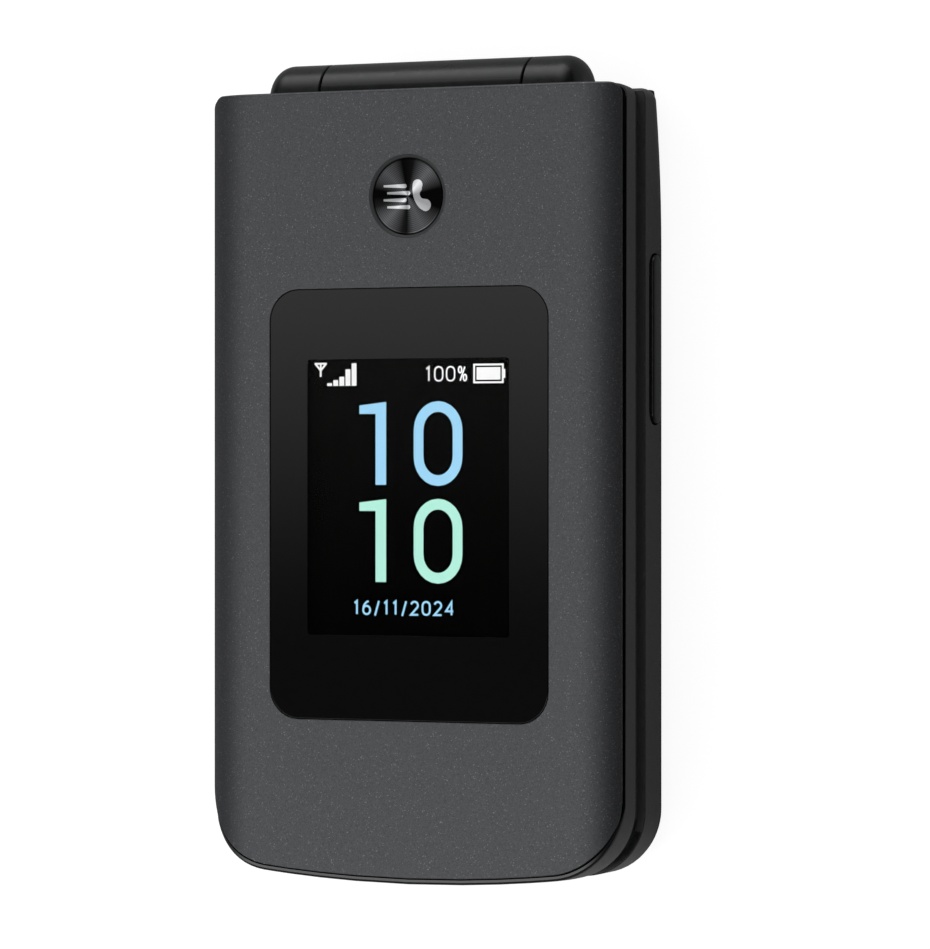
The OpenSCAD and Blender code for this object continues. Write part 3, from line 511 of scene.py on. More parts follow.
def tucked(x, y, z):
    """Draws a point in where the rounded back rises towards the hinge."""
    below = min(max(BACK_R - (z - rise(y)), 0), BACK_R)
    return x * (HALF - BACK_R + sqrt(max(BACK_R ** 2 - below ** 2, 0))) / HALF, y, z


def loft(name, levels, rows=(), corner=CORNER_R, shape=None):
    """A closed solid with the body's outline. levels are (side, low, high, z), z a number or a function
    of x, y, and may end in a corner radius of their own."""
    verts, faces = [], []
    for side, low, high, z, *own in levels:
        for row in plan(side, low, high, rows, own[0] if own else corner):
            verts += [(x, y, z(x, y) if callable(z) else z) for x, y in row]
    if shape:
        verts = [shape(*v) for v in verts]
    nx, ny = 2 * len(COLUMNS) + 1, len(rows) + 2
    at = lambda k, r, c: k * nx * ny + r * nx + c
    for k in (0, len(levels) - 1):
        faces += [[at(k, r, c), at(k, r, c + 1), at(k, r + 1, c + 1), at(k, r + 1, c)]
                  for r in range(ny - 1) for c in range(nx - 1)]
    loop = ([(0, c) for c in range(nx - 1)] + [(r, nx - 1) for r in range(ny - 1)]
            + [(ny - 1, c) for c in range(nx - 1, 0, -1)] + [(r, 0) for r in range(ny - 1, 0, -1)])
    for k in range(len(levels) - 1):
        for i, (r, c) in enumerate(loop):
            r2, c2 = loop[(i + 1) % len(loop)]
            faces.append([at(k, r, c), at(k, r2, c2), at(k + 1, r2, c2), at(k + 1, r, c)])
    return mesh_object(name, verts, faces)


def even(levels):
    """Levels whose inset is the same on the sides and both ends."""
    return [(i, i, i, z) for i, z in levels]


def axle(name, r, x0, x1, bevel=0.0):
    """A bar on the hinge's axis, its ends bevelled."""
    profile = [(r - bevel, x0), (r, x0 + bevel), (r, x1 - bevel), (r - bevel, x1)] if bevel else [(r, x0), (r, x1)]
    return lathe(name, AXIS_Y, AXIS_Z, profile, axes=SIDE)


def wedge(side):
    """The space swept by the other half near the hinge."""
    lean, reach, over, wide = tan(radians(12.5)), 40.0, 1.0, 60
    back, y = AXIS_Y - RUN, AXIS_Y - RUN + 3 + reach
    section = [(back, AXIS_Z - side * over), (y, AXIS_Z - side * over), (y, AXIS_Z + side * reach),
               (back + lean * reach, AXIS_Z + side * reach), (back, AXIS_Z)]
    return tower("wedge", [(section, -wide), (section, wide)], SIDE)


# ---- strokes for digits and signs
def loop_of(x, y, rx, ry, n=20):
    return bow(x, y, rx, ry, 0, 360 * (n - 1) / n, n - 1) + ["closed"]


SIGNS = {
    "0": [bow(.5, .68, .5, .32, 0, 180, 12) + bow(.5, .32, .5, .32, 180, 360, 12) + ["closed"]],
    "1": [[(.12, .84), (.62, 1), (.62, 0)]],
    "2": [bow(.5, .72, .46, .28, 165, -30, 12) + [(.02, 0), (1, 0)]],
    "3": [bow(.46, .76, .44, .24, 155, -90, 12), bow(.46, .26, .5, .26, 90, -155, 12)],
    "4": [[(.76, 0), (.76, 1), (0, .3), (1, .3)]],
    "5": [[(.9, 1), (.16, 1), (.08, .54)] + bow(.46, .32, .5, .32, 128, -150, 12)],
    "6": [loop_of(.5, .32, .48, .32), bow(1.0, .36, .97, .66, 176, 104, 8)],
    "7": [[(0, 1), (1, 1), (.36, 0)]],
    "8": [loop_of(.5, .76, .42, .24), loop_of(.5, .27, .5, .27)],
    "9": [loop_of(.5, .68, .48, .32), bow(0.0, .64, .97, .66, -4, -76, 8)],
    "/": [[(.08, -.1), (.92, 1.02)]],
    ":": [loop_of(.5, .26, .08, .05, 8), loop_of(.5, .76, .08, .05, 8)],
    "%": [loop_of(.2, .78, .2, .22, 14), loop_of(.8, .22, .2, .22, 14), [(.2, 0), (.8, 1)]],
    "*": [[(.5, .3), (.5, 1)], [(.08, .47), (.92, .83)], [(.08, .83), (.92, .47)]],
    "#": [[(.3, 0), (.4, 1)], [(.68, 0), (.78, 1)], [(.02, .33), (1, .33)], [(.04, .68), (1.02, .68)]],
}


LEAST_MITRE = 0.35  # keeps a sharp corner's point short
NARROW, NARROW_W = "1:/", 0.72


def ribbon(points, width, z0, z1):
    """Vertices and faces of a line drawn with a flat pen, as a thin solid."""
    closed = points[-1] == "closed"
    pts = [Vector(p) for p in points if p != "closed"]
    n = len(pts)
    sides = []
    for i, p in enumerate(pts):
        before = (p - pts[i - 1]).normalized() if closed or i else None
        after = (pts[(i + 1) % n] - p).normalized() if closed or i < n - 1 else None
        before, after = before or after, after or before
        along = (before + after).normalized()
        across = Vector((-along.y, along.x))
        reach = width / 2 / max(along.dot(after), LEAST_MITRE)
        sides.append((p + across * reach, p - across * reach))
    verts = [(q.x, q.y, z) for pair in sides for q in pair for z in (z0, z1)]
    faces = []
    for i in range(n if closed else n - 1):
        a, b = 4 * i, 4 * ((i + 1) % n)
        faces += [[a + 1, b + 1, b + 3, a + 3], [a, a + 2, b + 2, b], [a, b, b + 1, a + 1],
                  [a + 2, a + 3, b + 3, b + 2]]
    if not closed:
        end = 4 * (n - 1)
        faces += [[0, 1, 3, 2], [end, end + 2, end + 3, end + 1]]
    return verts, faces


def sign(ch, x, y, w, h, pen, z0, z1):
    """A digit or sign whose outside box is w by h, with its lower left corner at (x, y)."""
    out = []
    for line in SIGNS[ch]:
        placed = [p if p == "closed" else (x + pen / 2 + p[0] * (w - pen), y + pen / 2 + p[1] * (h - pen))
                  for p in line]
        out.append(ribbon(placed, pen, z0, z1))
    return out


def row_of(text, x, y, w, h, pen, gap, z0, z1):
    """Signs in a row from x on; the narrow ones take less room."""
    out = []
    for ch in text:
        wide = w * (NARROW_W if ch in NARROW else 1)
        out += sign(ch, x, y, wide, h, pen, z0, z1)
        x += wide + gap
    return out


def plate(points, z0, z1):
    """A flat shape with corners in order, as a thin solid."""
    n = len(points)
    verts = [(x, y, z) for z in (z0, z1) for x, y in points]
    sides = [[i, (i + 1) % n, n + (i + 1) % n, n + i] for i in range(n)]
    return verts, [list(range(n)), list(range(n, 2 * n))] + sides


def bar(x0, x1, y0, y1, z0, z1):
    return plate([(x0, y0), (x1, y0), (x1, y1), (x0, y1)], z0, z1)


# ---- the lid
def crown(x):
    past = max(abs(x) - (HALF - CROWN_W), 0)
    return TOTAL - CROWN_R + sqrt(CROWN_R ** 2 - past * past)


def swing_room():
    """Cuts the space that the hinge's barrel and knuckles turn in."""
    return axle("cut", SWING, -HINGE_LEFT - RUN, HINGE_HALF + RUN)


def make_lid_cover():
    """A crowned shell, open below, whose edge is rounded less at the lower end."""
    rim, lip, steps, flare = 0.4, 1.3, 5, 0.12
    under = lambda x, y: max(COVER_Z0, crown(x) - COVER_T)
    levels = [(lip, COVER_BACK + lip, lip, under), (lip, COVER_BACK + lip, lip, COVER_Z0),
              (0, COVER_BACK, 0, COVER_Z0)]
    for i in range(steps + 1):
        inset, drop = rim * (1 - cos(pi / 2 * i / steps)), rim * (1 - sin(pi / 2 * i / steps))

        def top(x, y, drop=drop):
            return max(COVER_Z0 + 0.02, crown(x) - (drop if y > 0 else drop / 3))

        levels.append((0, COVER_BACK + inset / 3, inset, top))
    cover = loft("lid_cover_shell", levels, corner=COVER_CORNER_R)
    window = pill("cut", 0, WINDOW_Y, WINDOW_W + FIT, WINDOW_L + FIT, WINDOW_R,
                  [(0, LENS_Z0 - 0.1), (0, TOTAL - flare), (-flare * 0.35, TOTAL - flare * 0.3),
                   (-flare, TOTAL), (-flare, OVER_LID)])
    opening = pill("cut", 0, WINDOW_Y, WINDOW_W - 2 * LEDGE, WINDOW_L - 2 * LEDGE, WINDOW_R - LEDGE / 2,
                   [(0, IN_LID), (0, UNDER_PANE)])
    hole = lathe("cut", 0, BUTTON_Y, [(HOLE_R, IN_LID), (HOLE_R, OVER_LID)])
    carve(cover, [window, opening, hole])
    piece(cover, "lid", "metallic_paint", "metallic_paint", "lid_cover")


def climb(y):
    """0 on the lid's sides and 1 at its lower end."""
    t = min(max((CLIMB_START - y) / CLIMB_RUN, 0), 1)
    return t * t * (3 - 2 * t)


def rim_height(x, y):
    """The frame's upper edge, which climbs round the lower corners to the cover."""
    return LID_BAND_Z1 + (crown(x) - RIM_DROP - LID_BAND_Z1) * climb(y)


def make_lid_frame():
    """A side band with a bead along its rim, a slot behind the bead and a narrower wall up into the cover."""
    lip, edge_r = 0.03, 0.12
    bead = [(RIM_R * (1 - sin(radians(a))), RIM_R * (1 - cos(radians(a))) + lip)
            for a in (90, 75, 60, 45, 30, 15, 5)]
    bead += [(RIM_INNER - RIM_INSET - lip, 0), (RIM_INNER - RIM_INSET, lip)]
    levels = even(edge(edge_r, LID_BAND_Z0, down=True)) + [(0, 0, 0, LID_BAND_Z1 - 0.4)]
    for inset, drop in bead:

        def top(x, y, drop=drop):
            return rim_height(x, y) - drop * (RIM_FLAT + (1 - RIM_FLAT) * climb(y))

        corner = CORNER_R + RIM_FOLLOW * (RIM_INSET + inset)
        levels.append((RIM_SIDE * inset, RIM_INSET + inset, RIM_HIGH * inset, top, corner))
    slot_side = RIM_SIDE * (RIM_INNER - RIM_INSET)
    levels += [(slot_side, RIM_INNER, slot_side, SLOT_Z, CORNER_R + RIM_FOLLOW * RIM_INNER)]
    levels += even([(GROOVE, SLOT_Z), (GROOVE, COVER_Z0 - 0.02)])
    band = loft("lid_frame_band", levels)
    inner = GROOVE + FRAME_WALL
    hollow = [loft("cut", [(inner, inner, HINGE_ROOM, z0), (inner, inner, HINGE_ROOM, z1)])
              for z0, z1 in ((LID_BAND_Z0 - PAST, PARTITION_Z0), (PARTITION_Z1, COVER_Z0 + PAST))]
    barrel = axle("add", HINGE_R, -MID_HALF, MID_HALF, edge_r)
    web = pill("add", 0, AXIS_Y - HINGE_R / 2, 2 * MID_HALF - 0.2, HINGE_R, 0.1,
               [(0, AXIS_Z + WEB), (0, LID_BAND_Z1 - 0.01)])
    bores = [axle("cut", CARTRIDGE_BORE, BORE_END, MID_HALF + PAST),
             axle("cut", SLEEVE_BORE, -MID_HALF - PAST, SLEEVE_END)]
    carve(band, hollow + [swing_room(), wedge(1)], [barrel, web], bores)
    piece(band, "lid", "black_frame", "black_frame", "lid_frame")
    repaint(band, "rim_gloss", lambda at, n: at.z > LID_BAND_Z1 - 0.2 and n.z > 0.2)


def make_lid_bezel():
    """The inner face, with a ledge for the main window, the earpiece's slot and seats for four pads."""
    levels = [(RECESS + i, RECESS + i, i, z)
              for i, z in edge(0.3, LID_Z0, down=True) + [(0, LID_BAND_Z0 - 0.05)]]
    bezel = loft("lid_bezel_panel", levels)
    pane_z, through = 12.0, 13

    def slot(y, w, l, r, flare, to_z):
        return pill("cut", 0, y, w + FIT, l, r,
                    [(-flare, LID_Z0 - PAST), (-flare, LID_Z0), (0, LID_Z0 + 0.15), (0, to_z)])

    cuts = [slot(MAIN_Y, MAIN_W, MAIN_L + FIT, MAIN_R, 0.2, pane_z),
            pill("cut", 0, MAIN_Y, MAIN_W - 2 * LEDGE, MAIN_L - 2 * LEDGE, MAIN_R, [(0, 11.5), (0, through)]),
            slot(EARPIECE_Y, EARPIECE_W, EARPIECE_L, EARPIECE_R, 0.15, through),
            swing_room(), wedge(1)]
    seat = [(BUMPER_R + 0.1, LID_Z0 - PAST), (BUMPER_R + 0.1, LID_Z0), (BUMPER_R, LID_Z0 + 0.1), (BUMPER_R, through)]
    cuts += [lathe("cut", s * BUMPER_X, y, seat, 48) for s in (-1, 1) for y in BUMPER_YS]
    carve(bezel, cuts)
    piece(bezel, "lid", "black_matte", "black_matte", "lid_bezel")


def make_outer_window():
    """The printed black border and the clear middle of one pane, flush with each other."""
    seam = 0.01
    border = pill("window_border", 0, WINDOW_Y, WINDOW_W, WINDOW_L, WINDOW_R,
                  [(0, LENS_Z0)] + edge(0.1, LENS_Z1, n=3), n=16)
    hole = pill("cut", 0, DISPLAY_Y, DISPLAY_W, DISPLAY_L, DISPLAY_R,
                [(0, LENS_Z0 - PAST), (0, TOTAL + PAST)])
    carve(border, [hole])
    piece(border, "lid", "lens_glass", "mask", "outer_lens")
    clear = pill("window_clear", 0, DISPLAY_Y, DISPLAY_W - seam, DISPLAY_L - seam, DISPLAY_R,
                 [(0, LENS_Z0), (0, LENS_Z1)])
    piece(clear, "lid", "lens_glass", "clear_window", "outer_lens")


def battery_sign(box, pen, inset, pole, z0, z1):
    """A case in outline, the charge in it and the pole, whose place is given from the case's right side."""
    left, right, low, high = box
    case = ribbon([(left, low), (right, low), (right, high), (left, high), "closed"], pen, z0, z1)
    charge = bar(left + inset[0], right - inset[0], low + inset[1], high - inset[1], z0, z1)
    return [case, charge, bar(right + pole[0], right + pole[1], low + pole[2], high - pole[3], z0, z1)]


def make_outer_picture():
    """The clock, the date and the status line, as flat solids just over the display."""
    z0, z1 = DISPLAY_Z + 0.01, DISPLAY_Z + 0.05
    digit_h, pen, flag_x, stem_x0, stem_x1, flag_drop, flag_low = 10.51, 1.33, -7.08, -4.82, -3.35, 0.43, 1.51
    zero_x, zero_w, zero_h, zero_drop = 0.51, 6.73, 10.69, 0.13
    for top, name, lit in ((8.70, "hours", "blue_lit"), (-3.62, "minutes", "mint_lit")):
        low = top - digit_h
        one = plate([(stem_x0, low), (stem_x1, low), (stem_x1, top), (flag_x, top - flag_drop),
                     (flag_x, top - flag_low), (stem_x0, top - flag_low)], z0, z1)
        zero = sign("0", zero_x, low - zero_drop, zero_w, zero_h, pen, z0, z1)
        piece(drawing("clock_" + name, [one] + zero), "lid", "display", lit)
    date = row_of("16/11/2024", -7.97, -18.35, w=1.26, h=1.9, pen=0.25, gap=0.36, z0=z0, z1=z1)
    piece(drawing("date_line", date), "lid", "display", "blue_lit")

    line = 0.24
    bars_x, bars_y, bar_w, bar_step = -11.62, 10.78, 0.67, 0.86
    white = [bar(bars_x + i * bar_step, bars_x + i * bar_step + bar_w, bars_y, bars_y + h, z0, z1)
             for i, h in enumerate((0.36, 0.74, 1.16, 2.1, 2.86))]
    mast, foot, fork, tip, arm = -12.55, 11.95, 12.75, 13.62, 0.75
    white += [ribbon(points, line, z0, z1)
              for points in ([(mast, foot), (mast, tip + 0.08)],
                             [(mast - arm, tip), (mast, fork), (mast + arm, tip)],
                             [(mast - arm - 0.1, tip), (mast + arm + 0.1, tip)])]
    white += row_of("100%", 2.05, 11.2, w=1.3, h=1.98, pen=0.2, gap=0.34, z0=z0, z1=z1)
    white += battery_sign((8.86, 12.78, 11.07, 13.3), line, (0.34, 0.33), (0.12, 0.33, 0.53, 0.58), z0, z1)
    piece(drawing("status_signs", white), "lid", "display", "white_lit")


def make_inner_picture():
    """The lit inner screen, drawn upright for an open lid, whose upper end is the low end of a closed one."""
    z0, z1 = INNER_SIGN_Z, INNER_SHEET_Z0
    half_w, half_l = MAIN_ACTIVE_W / 2 - 0.2, MAIN_ACTIVE_L / 2 - 0.2

    def show(name, parts, lit):
        upright = [([(x, MAIN_Y - y, z) for x, y, z in verts], faces) for verts, faces in parts]
        piece(drawing(name, upright), "lid", "display", lit)

    show("inner_screen_sheet", [bar(-half_w, half_w, -half_l, half_l, z1, INNER_SHEET_Z1)], "dusk_lit")
    show("inner_clock", row_of("10:10", -14.6, 2.5, w=6.0, h=10.5, pen=1.1, gap=1.5, z0=z0, z1=z1), "white_lit")
    show("inner_date", row_of("16/11/2024", -10.5, -4.6, w=1.9, h=2.9, pen=0.36, gap=0.5, z0=z0, z1=z1),
         "blue_lit")
    top, low = half_l - 3.6, 2.2 - half_l
    bars_x, bar_w, bar_step, bar_rise = -19.5, 0.9, 1.2, 0.6
    signs = [bar(bars_x + i * bar_step, bars_x + i * bar_step + bar_w, top, top + bar_rise * (i + 1), z0, z1)
             for i in range(4)]
    signs += battery_sign((15.0, 19.2, top, top + 2.4), 0.3, (0.5, 0.45), (0.25, 0.6, 0.7, 0.7), z0, z1)
    menu_x, menu_w, menu_step, menu_pen = -19.0, 3.6, 0.9, 0.4
    signs += [bar(menu_x, menu_x + menu_w, low + menu_step * i, low + menu_step * i + menu_pen, z0, z1)
              for i in range(3)]
    mid, home_r, back_x0, back_x1 = low + 1.1, 1.2, 16.4, 18.6
    signs += [ribbon(loop_of(0, mid, home_r, home_r), 0.35, z0, z1),
              ribbon([(back_x1, low), (back_x0, mid), (back_x1, low + 2.2)], 0.4, z0, z1)]
    show("inner_signs", signs, "white_lit")


def make_call_button():
    """A turned disc with fine concentric grooves, its stem and the ring round it."""
    top, foot, flange_z, groove, plain = TOTAL - BUTTON_DROP, 16.3, 16.9, 0.004, 0.3
    profile = [(HOLE_R - 0.05, foot), (HOLE_R - 0.05, flange_z), (BUTTON_R, flange_z),
               (BUTTON_R, top - 0.18), (BUTTON_R - 0.06, top - 0.06), (BUTTON_R - 0.18, top)]
    for i in range(int((BUTTON_R - plain) / RING_PITCH)):
        r = BUTTON_R - plain - i * RING_PITCH
        profile += [(r, top), (r - RING_PITCH / 2, top - groove)]
    profile.append((0, top))
    disc = lathe("call_button_disc", 0, BUTTON_Y, profile, 128)
    piece(disc, "call_button", "button_metal", "button_metal", "call_button")
    stem = lathe("call_button_stem", 0, BUTTON_Y, [(0.9, foot - 0.25), (1.0, foot - 0.15), (1.0, foot + 0.01)], 32)
    piece(stem, "call_button", "button_metal", "black_matte")
    outer, inner, low = HOLE_R - 0.01, BUTTON_R + 0.06, TOTAL - COVER_T
    section = [(outer, low), (outer, TOTAL - 0.02), (HOLE_R - 0.03, TOTAL), (HOLE_R - 0.06, TOTAL - 0.01),
               (BUTTON_R + 0.11, TOTAL - 0.16), (BUTTON_R + 0.07, TOTAL - 0.2), (inner, TOTAL - 0.26), (inner, low)]
    piece(ring_solid("call_ring_trim", 0, BUTTON_Y, section), "lid", "ring_metal", "ring_metal", "call_ring")


def make_pictogram():
    """Four tapered bars and a plain handset, inlaid in the button."""
    z0, z1 = TOTAL - BUTTON_DROP - 0.05, TOTAL - BUTTON_DROP + 0.03
    parts = []
    left_xs, first_y, step, length, half_left, half_right, sag = (-3.34, -2.84), 1.32, 0.89, 3.2, 0.13, 0.26, 0.04
    for i in range(4):
        x, y = left_xs[i % 2], BUTTON_Y + first_y - i * step
        end = x + length - half_right
        parts.append(plate([(x, y - half_left), (end, y - half_right - sag)]
                           + arc(end, y - sag, half_right, -70, 70, 6)
                           + [(end, y + half_right - sag), (x, y + half_left)], z0, z1))
    handle = bow(3.6, BUTTON_Y + 0.9, 2.93, 3.25, 174, 230, 12)
    mouth = bow(2.5, BUTTON_Y - 1.19, 0.72, 0.76, 238, 450, 14)
    hollow = bow(2.3, BUTTON_Y + 0.22, 0.62, 0.62, 255, 125, 10)
    ear = bow(1.37, BUTTON_Y + 1.4, 0.68, 0.69, -25, 172, 14)
    parts.append(plate(handle + mouth + hollow + ear, z0, z1))
    piece(drawing("call_pictogram", parts), "call_button", "nav_metal", "inlay")


# ---- the base
def key_places():
    """Every pressed key but the middle one: node, x, y, width, length."""
    names = ["key_%d" % i for i in range(1, 10)] + ["key_star", "key_0", "key_hash"]
    spots = [(name, (i % 3 - 1) * PITCH_X, KEY_Y0 + (3 - i // 3) * PITCH_Y, KEY_W, KEY_L)
             for i, name in enumerate(names)]
    for y, left, right in ((SOFT_Y, "left_soft_key", "right_soft_key"), (SEND_Y, "send_key", "end_key")):
        spots += [(left, -SIDE_X, y, SIDE_W, SIDE_L), (right, SIDE_X, y, SIDE_W, SIDE_L)]
    return spots + [("clear_key", 0, CLEAR_Y, CLEAR_W, CLEAR_L)]


def knuckle(s, reach):
    """A hinge knuckle with a round end, and the web that carries it."""
    bevel, root = 0.12, HINGE_R - HINGE_END_R
    inner_x, outer_x = KNUCKLE_X + 0.1, reach - HINGE_END_R
    round_end = [(r, s * x) for r, x in arc(root, outer_x, HINGE_END_R, 0, 90, 10)]
    profile = [(HINGE_R - bevel, s * KNUCKLE_X), (HINGE_R, s * (KNUCKLE_X + bevel))] + round_end
    web = pill("add", s * (inner_x + outer_x) / 2, AXIS_Y - HINGE_R / 2, outer_x - inner_x, HINGE_R, 0.1,
               [(0, BAND_Z0 + 0.01), (0, AXIS_Z - WEB)])
    return [lathe("add", AXIS_Y, AXIS_Z, profile, 96, SIDE), web]


def housing_openings():
    """Cuts for the bores, the keys, the rocker and the sockets."""
    cuts = [axle("cut", SHAFT_BORE, KNUCKLE_X - PAST, HINGE_HALF - BORE_END),
            axle("cut", SLEEVE_BORE, BORE_END - HINGE_HALF, PAST - KNUCKLE_X)]
    flare = [(0, BAND_Z1 - PAST), (0, BASE_TOP - 0.18), (-0.05, BASE_TOP - 0.06), (-0.18, BASE_TOP), (-0.18, 12)]
    for _, x, y, w, l in key_places():
        cuts.append(pill("cut", x, y, w + 2 * RUN, l + 2 * RUN, KEY_R + RUN, flare))
    cuts.append(pill("cut", 0, NAV_Y, NAV_W + 2 * RUN, NAV_L + 2 * RUN, NAV_R + RUN, flare, n=12))
    cuts.append(pill("cut", ROCKER_Y, ROCKER_SLOT_Z, ROCKER_SLOT_L, ROCKER_SLOT_W, ROCKER_SLOT_W / 2,
                     [(0, HALF - ROCKER_SLOT_D), (0, HALF - 0.15), (-0.04, HALF - 0.05), (-0.15, HALF),
                      (-0.15, HALF + PAST)], SIDE, 12))
    cuts.append(pill("cut", ROCKER_Y, ROCKER_Z, ROCKER_L - 4.6, ROCKER_W - 0.8, 0.89,
                     [(0, HALF - 3), (0, HALF)], SIDE))
    jack_r, mouth_r = JACK_R + 0.1, JACK_R + 0.25
    jack = [(mouth_r, -HALF - PAST), (mouth_r, -HALF), (jack_r, 0.15 - HALF), (jack_r, 3 - HALF)]
    cuts.append(lathe("cut", JACK_Y, JACK_Z, jack, 48, SIDE))
    cuts.append(pill("cut", 0, USB_Z, USB_W + 2 * FIT, USB_H + 2 * FIT, USB_R,
                     [(-0.2, Y_BOT - PAST), (-0.2, Y_BOT), (0, Y_BOT + 0.2), (0, Y_BOT + 2.4)], END))
    cuts.append(lathe("cut", MIC_X, USB_Z, [(MIC_R, Y_BOT - PAST), (MIC_R, Y_BOT + 3)], 24, END))
    return cuts


def make_keypad_housing():
    """The base's upper shell, with the keys' plate set in by a recess, and the outer knuckles."""
    levels = even(edge(0.1, BAND_Z0, down=True) + [(0, z) for z in (4.3, 4.6, 5.0, 5.5, 6.0)]
                  + edge(0.12, BAND_Z1))
    levels += [(RECESS, RECESS, 0.3, BAND_Z1)] + [(RECESS + i, RECESS + i, i, z) for i, z in edge(0.3, BASE_TOP)]
    housing = loft("keypad_housing_shell", levels, BACK_ROWS, corner=BASE_CORNER_R, shape=tucked)
    hollow = loft("cut", [(WALL, WALL, HINGE_ROOM, BAND_Z0 - PAST), (WALL, WALL, HINGE_ROOM, BAND_Z1)])
    carve(housing, [hollow, swing_room(), wedge(-1)], knuckle(-1, HINGE_LEFT) + knuckle(1, HINGE_HALF),
          housing_openings())
    piece(housing, "base", "black_frame", "black_frame", "keypad_housing")
    ledge_x = HALF - RECESS - 0.05
    # Painted light: the ledge in the lid's shade gets a lighter black than the rest of the housing
    repaint(housing, "recess", lambda at, n: BAND_Z1 - 0.01 < at.z < BASE_TOP - 0.3 and abs(at.x) > ledge_x)


def tucked_back(x, y, z):
    """As tucked, but only for points outside the rounded side."""
    limit = abs(tucked(HALF, y, z)[0])
    return max(-limit, min(limit, x)), y, z


def make_battery_cover():
    """The rounded back: an outer skin up to the seam and an inner one down again."""
    outer_steps, inner_steps, step_z, seam = 12, 6, 0.01, 0.05
    levels = []
    for i in range(outer_steps + 1):
        a = pi / 2 * (1 - i / outer_steps)

        def skin(x, y, a=a, under_seam=step_z * (outer_steps - i)):
            return min(rise(y) + BACK_R * (1 - sin(a)), BACK_H - under_seam)

        inset = BACK_R * (1 - cos(a))
        levels.append((inset, inset, min(inset, 0.4), skin))
    levels += even([(seam, BACK_H), (WALL, BACK_H)])
    for i in range(1, inner_steps + 1):
        a = pi / 2 * i / inner_steps

        def lining(x, y, a=a):
            return min(BACK_H - seam, rise(y) + WALL + (BACK_H - WALL - rise(y)) * (1 - sin(a)))

        inset = WALL + (BACK_R - WALL / 2) * (1 - cos(a))
        levels.append((inset, inset, WALL, lining))
    cover = loft("battery_cover_shell", levels, BACK_ROWS, corner=BASE_CORNER_R, shape=tucked_back)
    camera_z, inside = rise(CAMERA_Y), 5
    mouth_r, camera_r, flash_r = CAMERA_R + 0.2, CAMERA_R + 0.05, FLASH_R + 0.05
    camera = [(mouth_r, -PAST), (mouth_r, camera_z), (camera_r, camera_z + 0.15), (camera_r, inside)]
    cuts = [lathe("cut", 0, CAMERA_Y, camera, 64),
            lathe("cut", FLASH_X, CAMERA_Y, [(flash_r, -PAST), (flash_r, inside)], 48)]
    cuts += [pill("cut", SPEAKER_X + SPEAKER_PITCH * i, CAMERA_Y, SPEAKER_W, SPEAKER_L, 0.44,
                  [(0, -PAST), (0, inside)], n=5) for i in range(-2, 3)]
    carve(cover, cuts)
    piece(cover, "base", "black_matte", "back", "battery_cover")


def make_keys():
    """Keys with a softly raised middle, a round edge and a flange under the plate."""
    edge_r, crown_h = 0.35, 0.12
    for name, x, y, w, l in key_places():
        levels = [(-FLANGE, FLANGE_Z0), (-FLANGE, FLANGE_Z1), (0, FLANGE_Z1)] + edge(edge_r, KEY_TOP - crown_h)
        reach = min(w, l) / 2 - 0.45
        levels += [(edge_r + reach * t, KEY_TOP - crown_h * (1 - t) ** 2) for t in (0.12, 0.28, 0.5, 0.75, 0.97)]
        key = pill(name + "_cap", x, y, w, l, KEY_R, levels)
        stem = lathe("add", x, y, STEM_FOOT + [(STEM_R, FLANGE_Z0 + 0.02)], 32)
        piece(joined(name + "_cap", [key, stem]), name, "key_plastic", "key_plastic", name)


def make_legends():
    """Printed signs, a little proud of the keys."""
    z0, z1 = KEY_TOP - 0.06, KEY_TOP + 0.03

    def legend(name, parts, ink="ink"):
        piece(drawing(name + "_legend", parts), name, "key_plastic", ink)

    for (name, x, y, _, _), ch in zip(key_places(), "123456789*0#"):
        w, h, pen = (3.0, 3.4, 0.4) if ch in "*#" else (2.0 if ch == "1" else 2.6, 4.2, 0.5)
        legend(name, sign(ch, x - w / 2, y - h / 2, w, h, pen, z0, z1))

    handset_pen, cup_r = 0.75, 0.78
    lifted = bow(0.9 - SIDE_X, SEND_Y + 0.9, 2.6, 2.6, 165, 285, 10)
    laid_down = bow(SIDE_X, SEND_Y - 1.4, 2.2, 2.4, 150, 30, 10)
    for name, curve, ink in (("send_key", lifted, "green_ink"), ("end_key", laid_down, "red_ink")):
        cups = [plate(arc(*curve[end], cup_r, 0, 330, 11), z0, z1 + 0.002) for end in (0, -1)]
        legend(name, [ribbon(curve, handset_pen, z0, z1)] + cups, ink)

    dash, dash_pen = 1.6, 0.22
    for s, name in ((-1, "left_soft_key"), (1, "right_soft_key")):
        x = s * SIDE_X
        legend(name, [bar(x - dash, x + dash, SOFT_Y - dash_pen, SOFT_Y + dash_pen, z0, z1)])

    tip, neck, tail, half_h = -1.9, -0.9, 1.3, 0.9
    low, high = CLEAR_Y - half_h, CLEAR_Y + half_h
    legend("clear_key", [ribbon([(tail, high), (neck, high), (tip, CLEAR_Y), (neck, low), (tail, low), "closed"],
                                0.28, z0, z1)])

    up, across, arrow, half, arrow_pen = 7.6, 9.0, 0.4, 0.9, 0.35
    heads = [[(-half, NAV_Y + s * (up - arrow)), (0, NAV_Y + s * (up + arrow)), (half, NAV_Y + s * (up - arrow))]
             for s in (1, -1)]
    heads += [[(s * across, NAV_Y + half), (s * (across + 2 * arrow), NAV_Y), (s * across, NAV_Y - half)]
              for s in (-1, 1)]
    arrows = [ribbon(points, arrow_pen, z0, z1) for points in heads]
    piece(drawing("nav_ring_arrows", arrows), "nav_ring", "nav_metal", "black_matte")


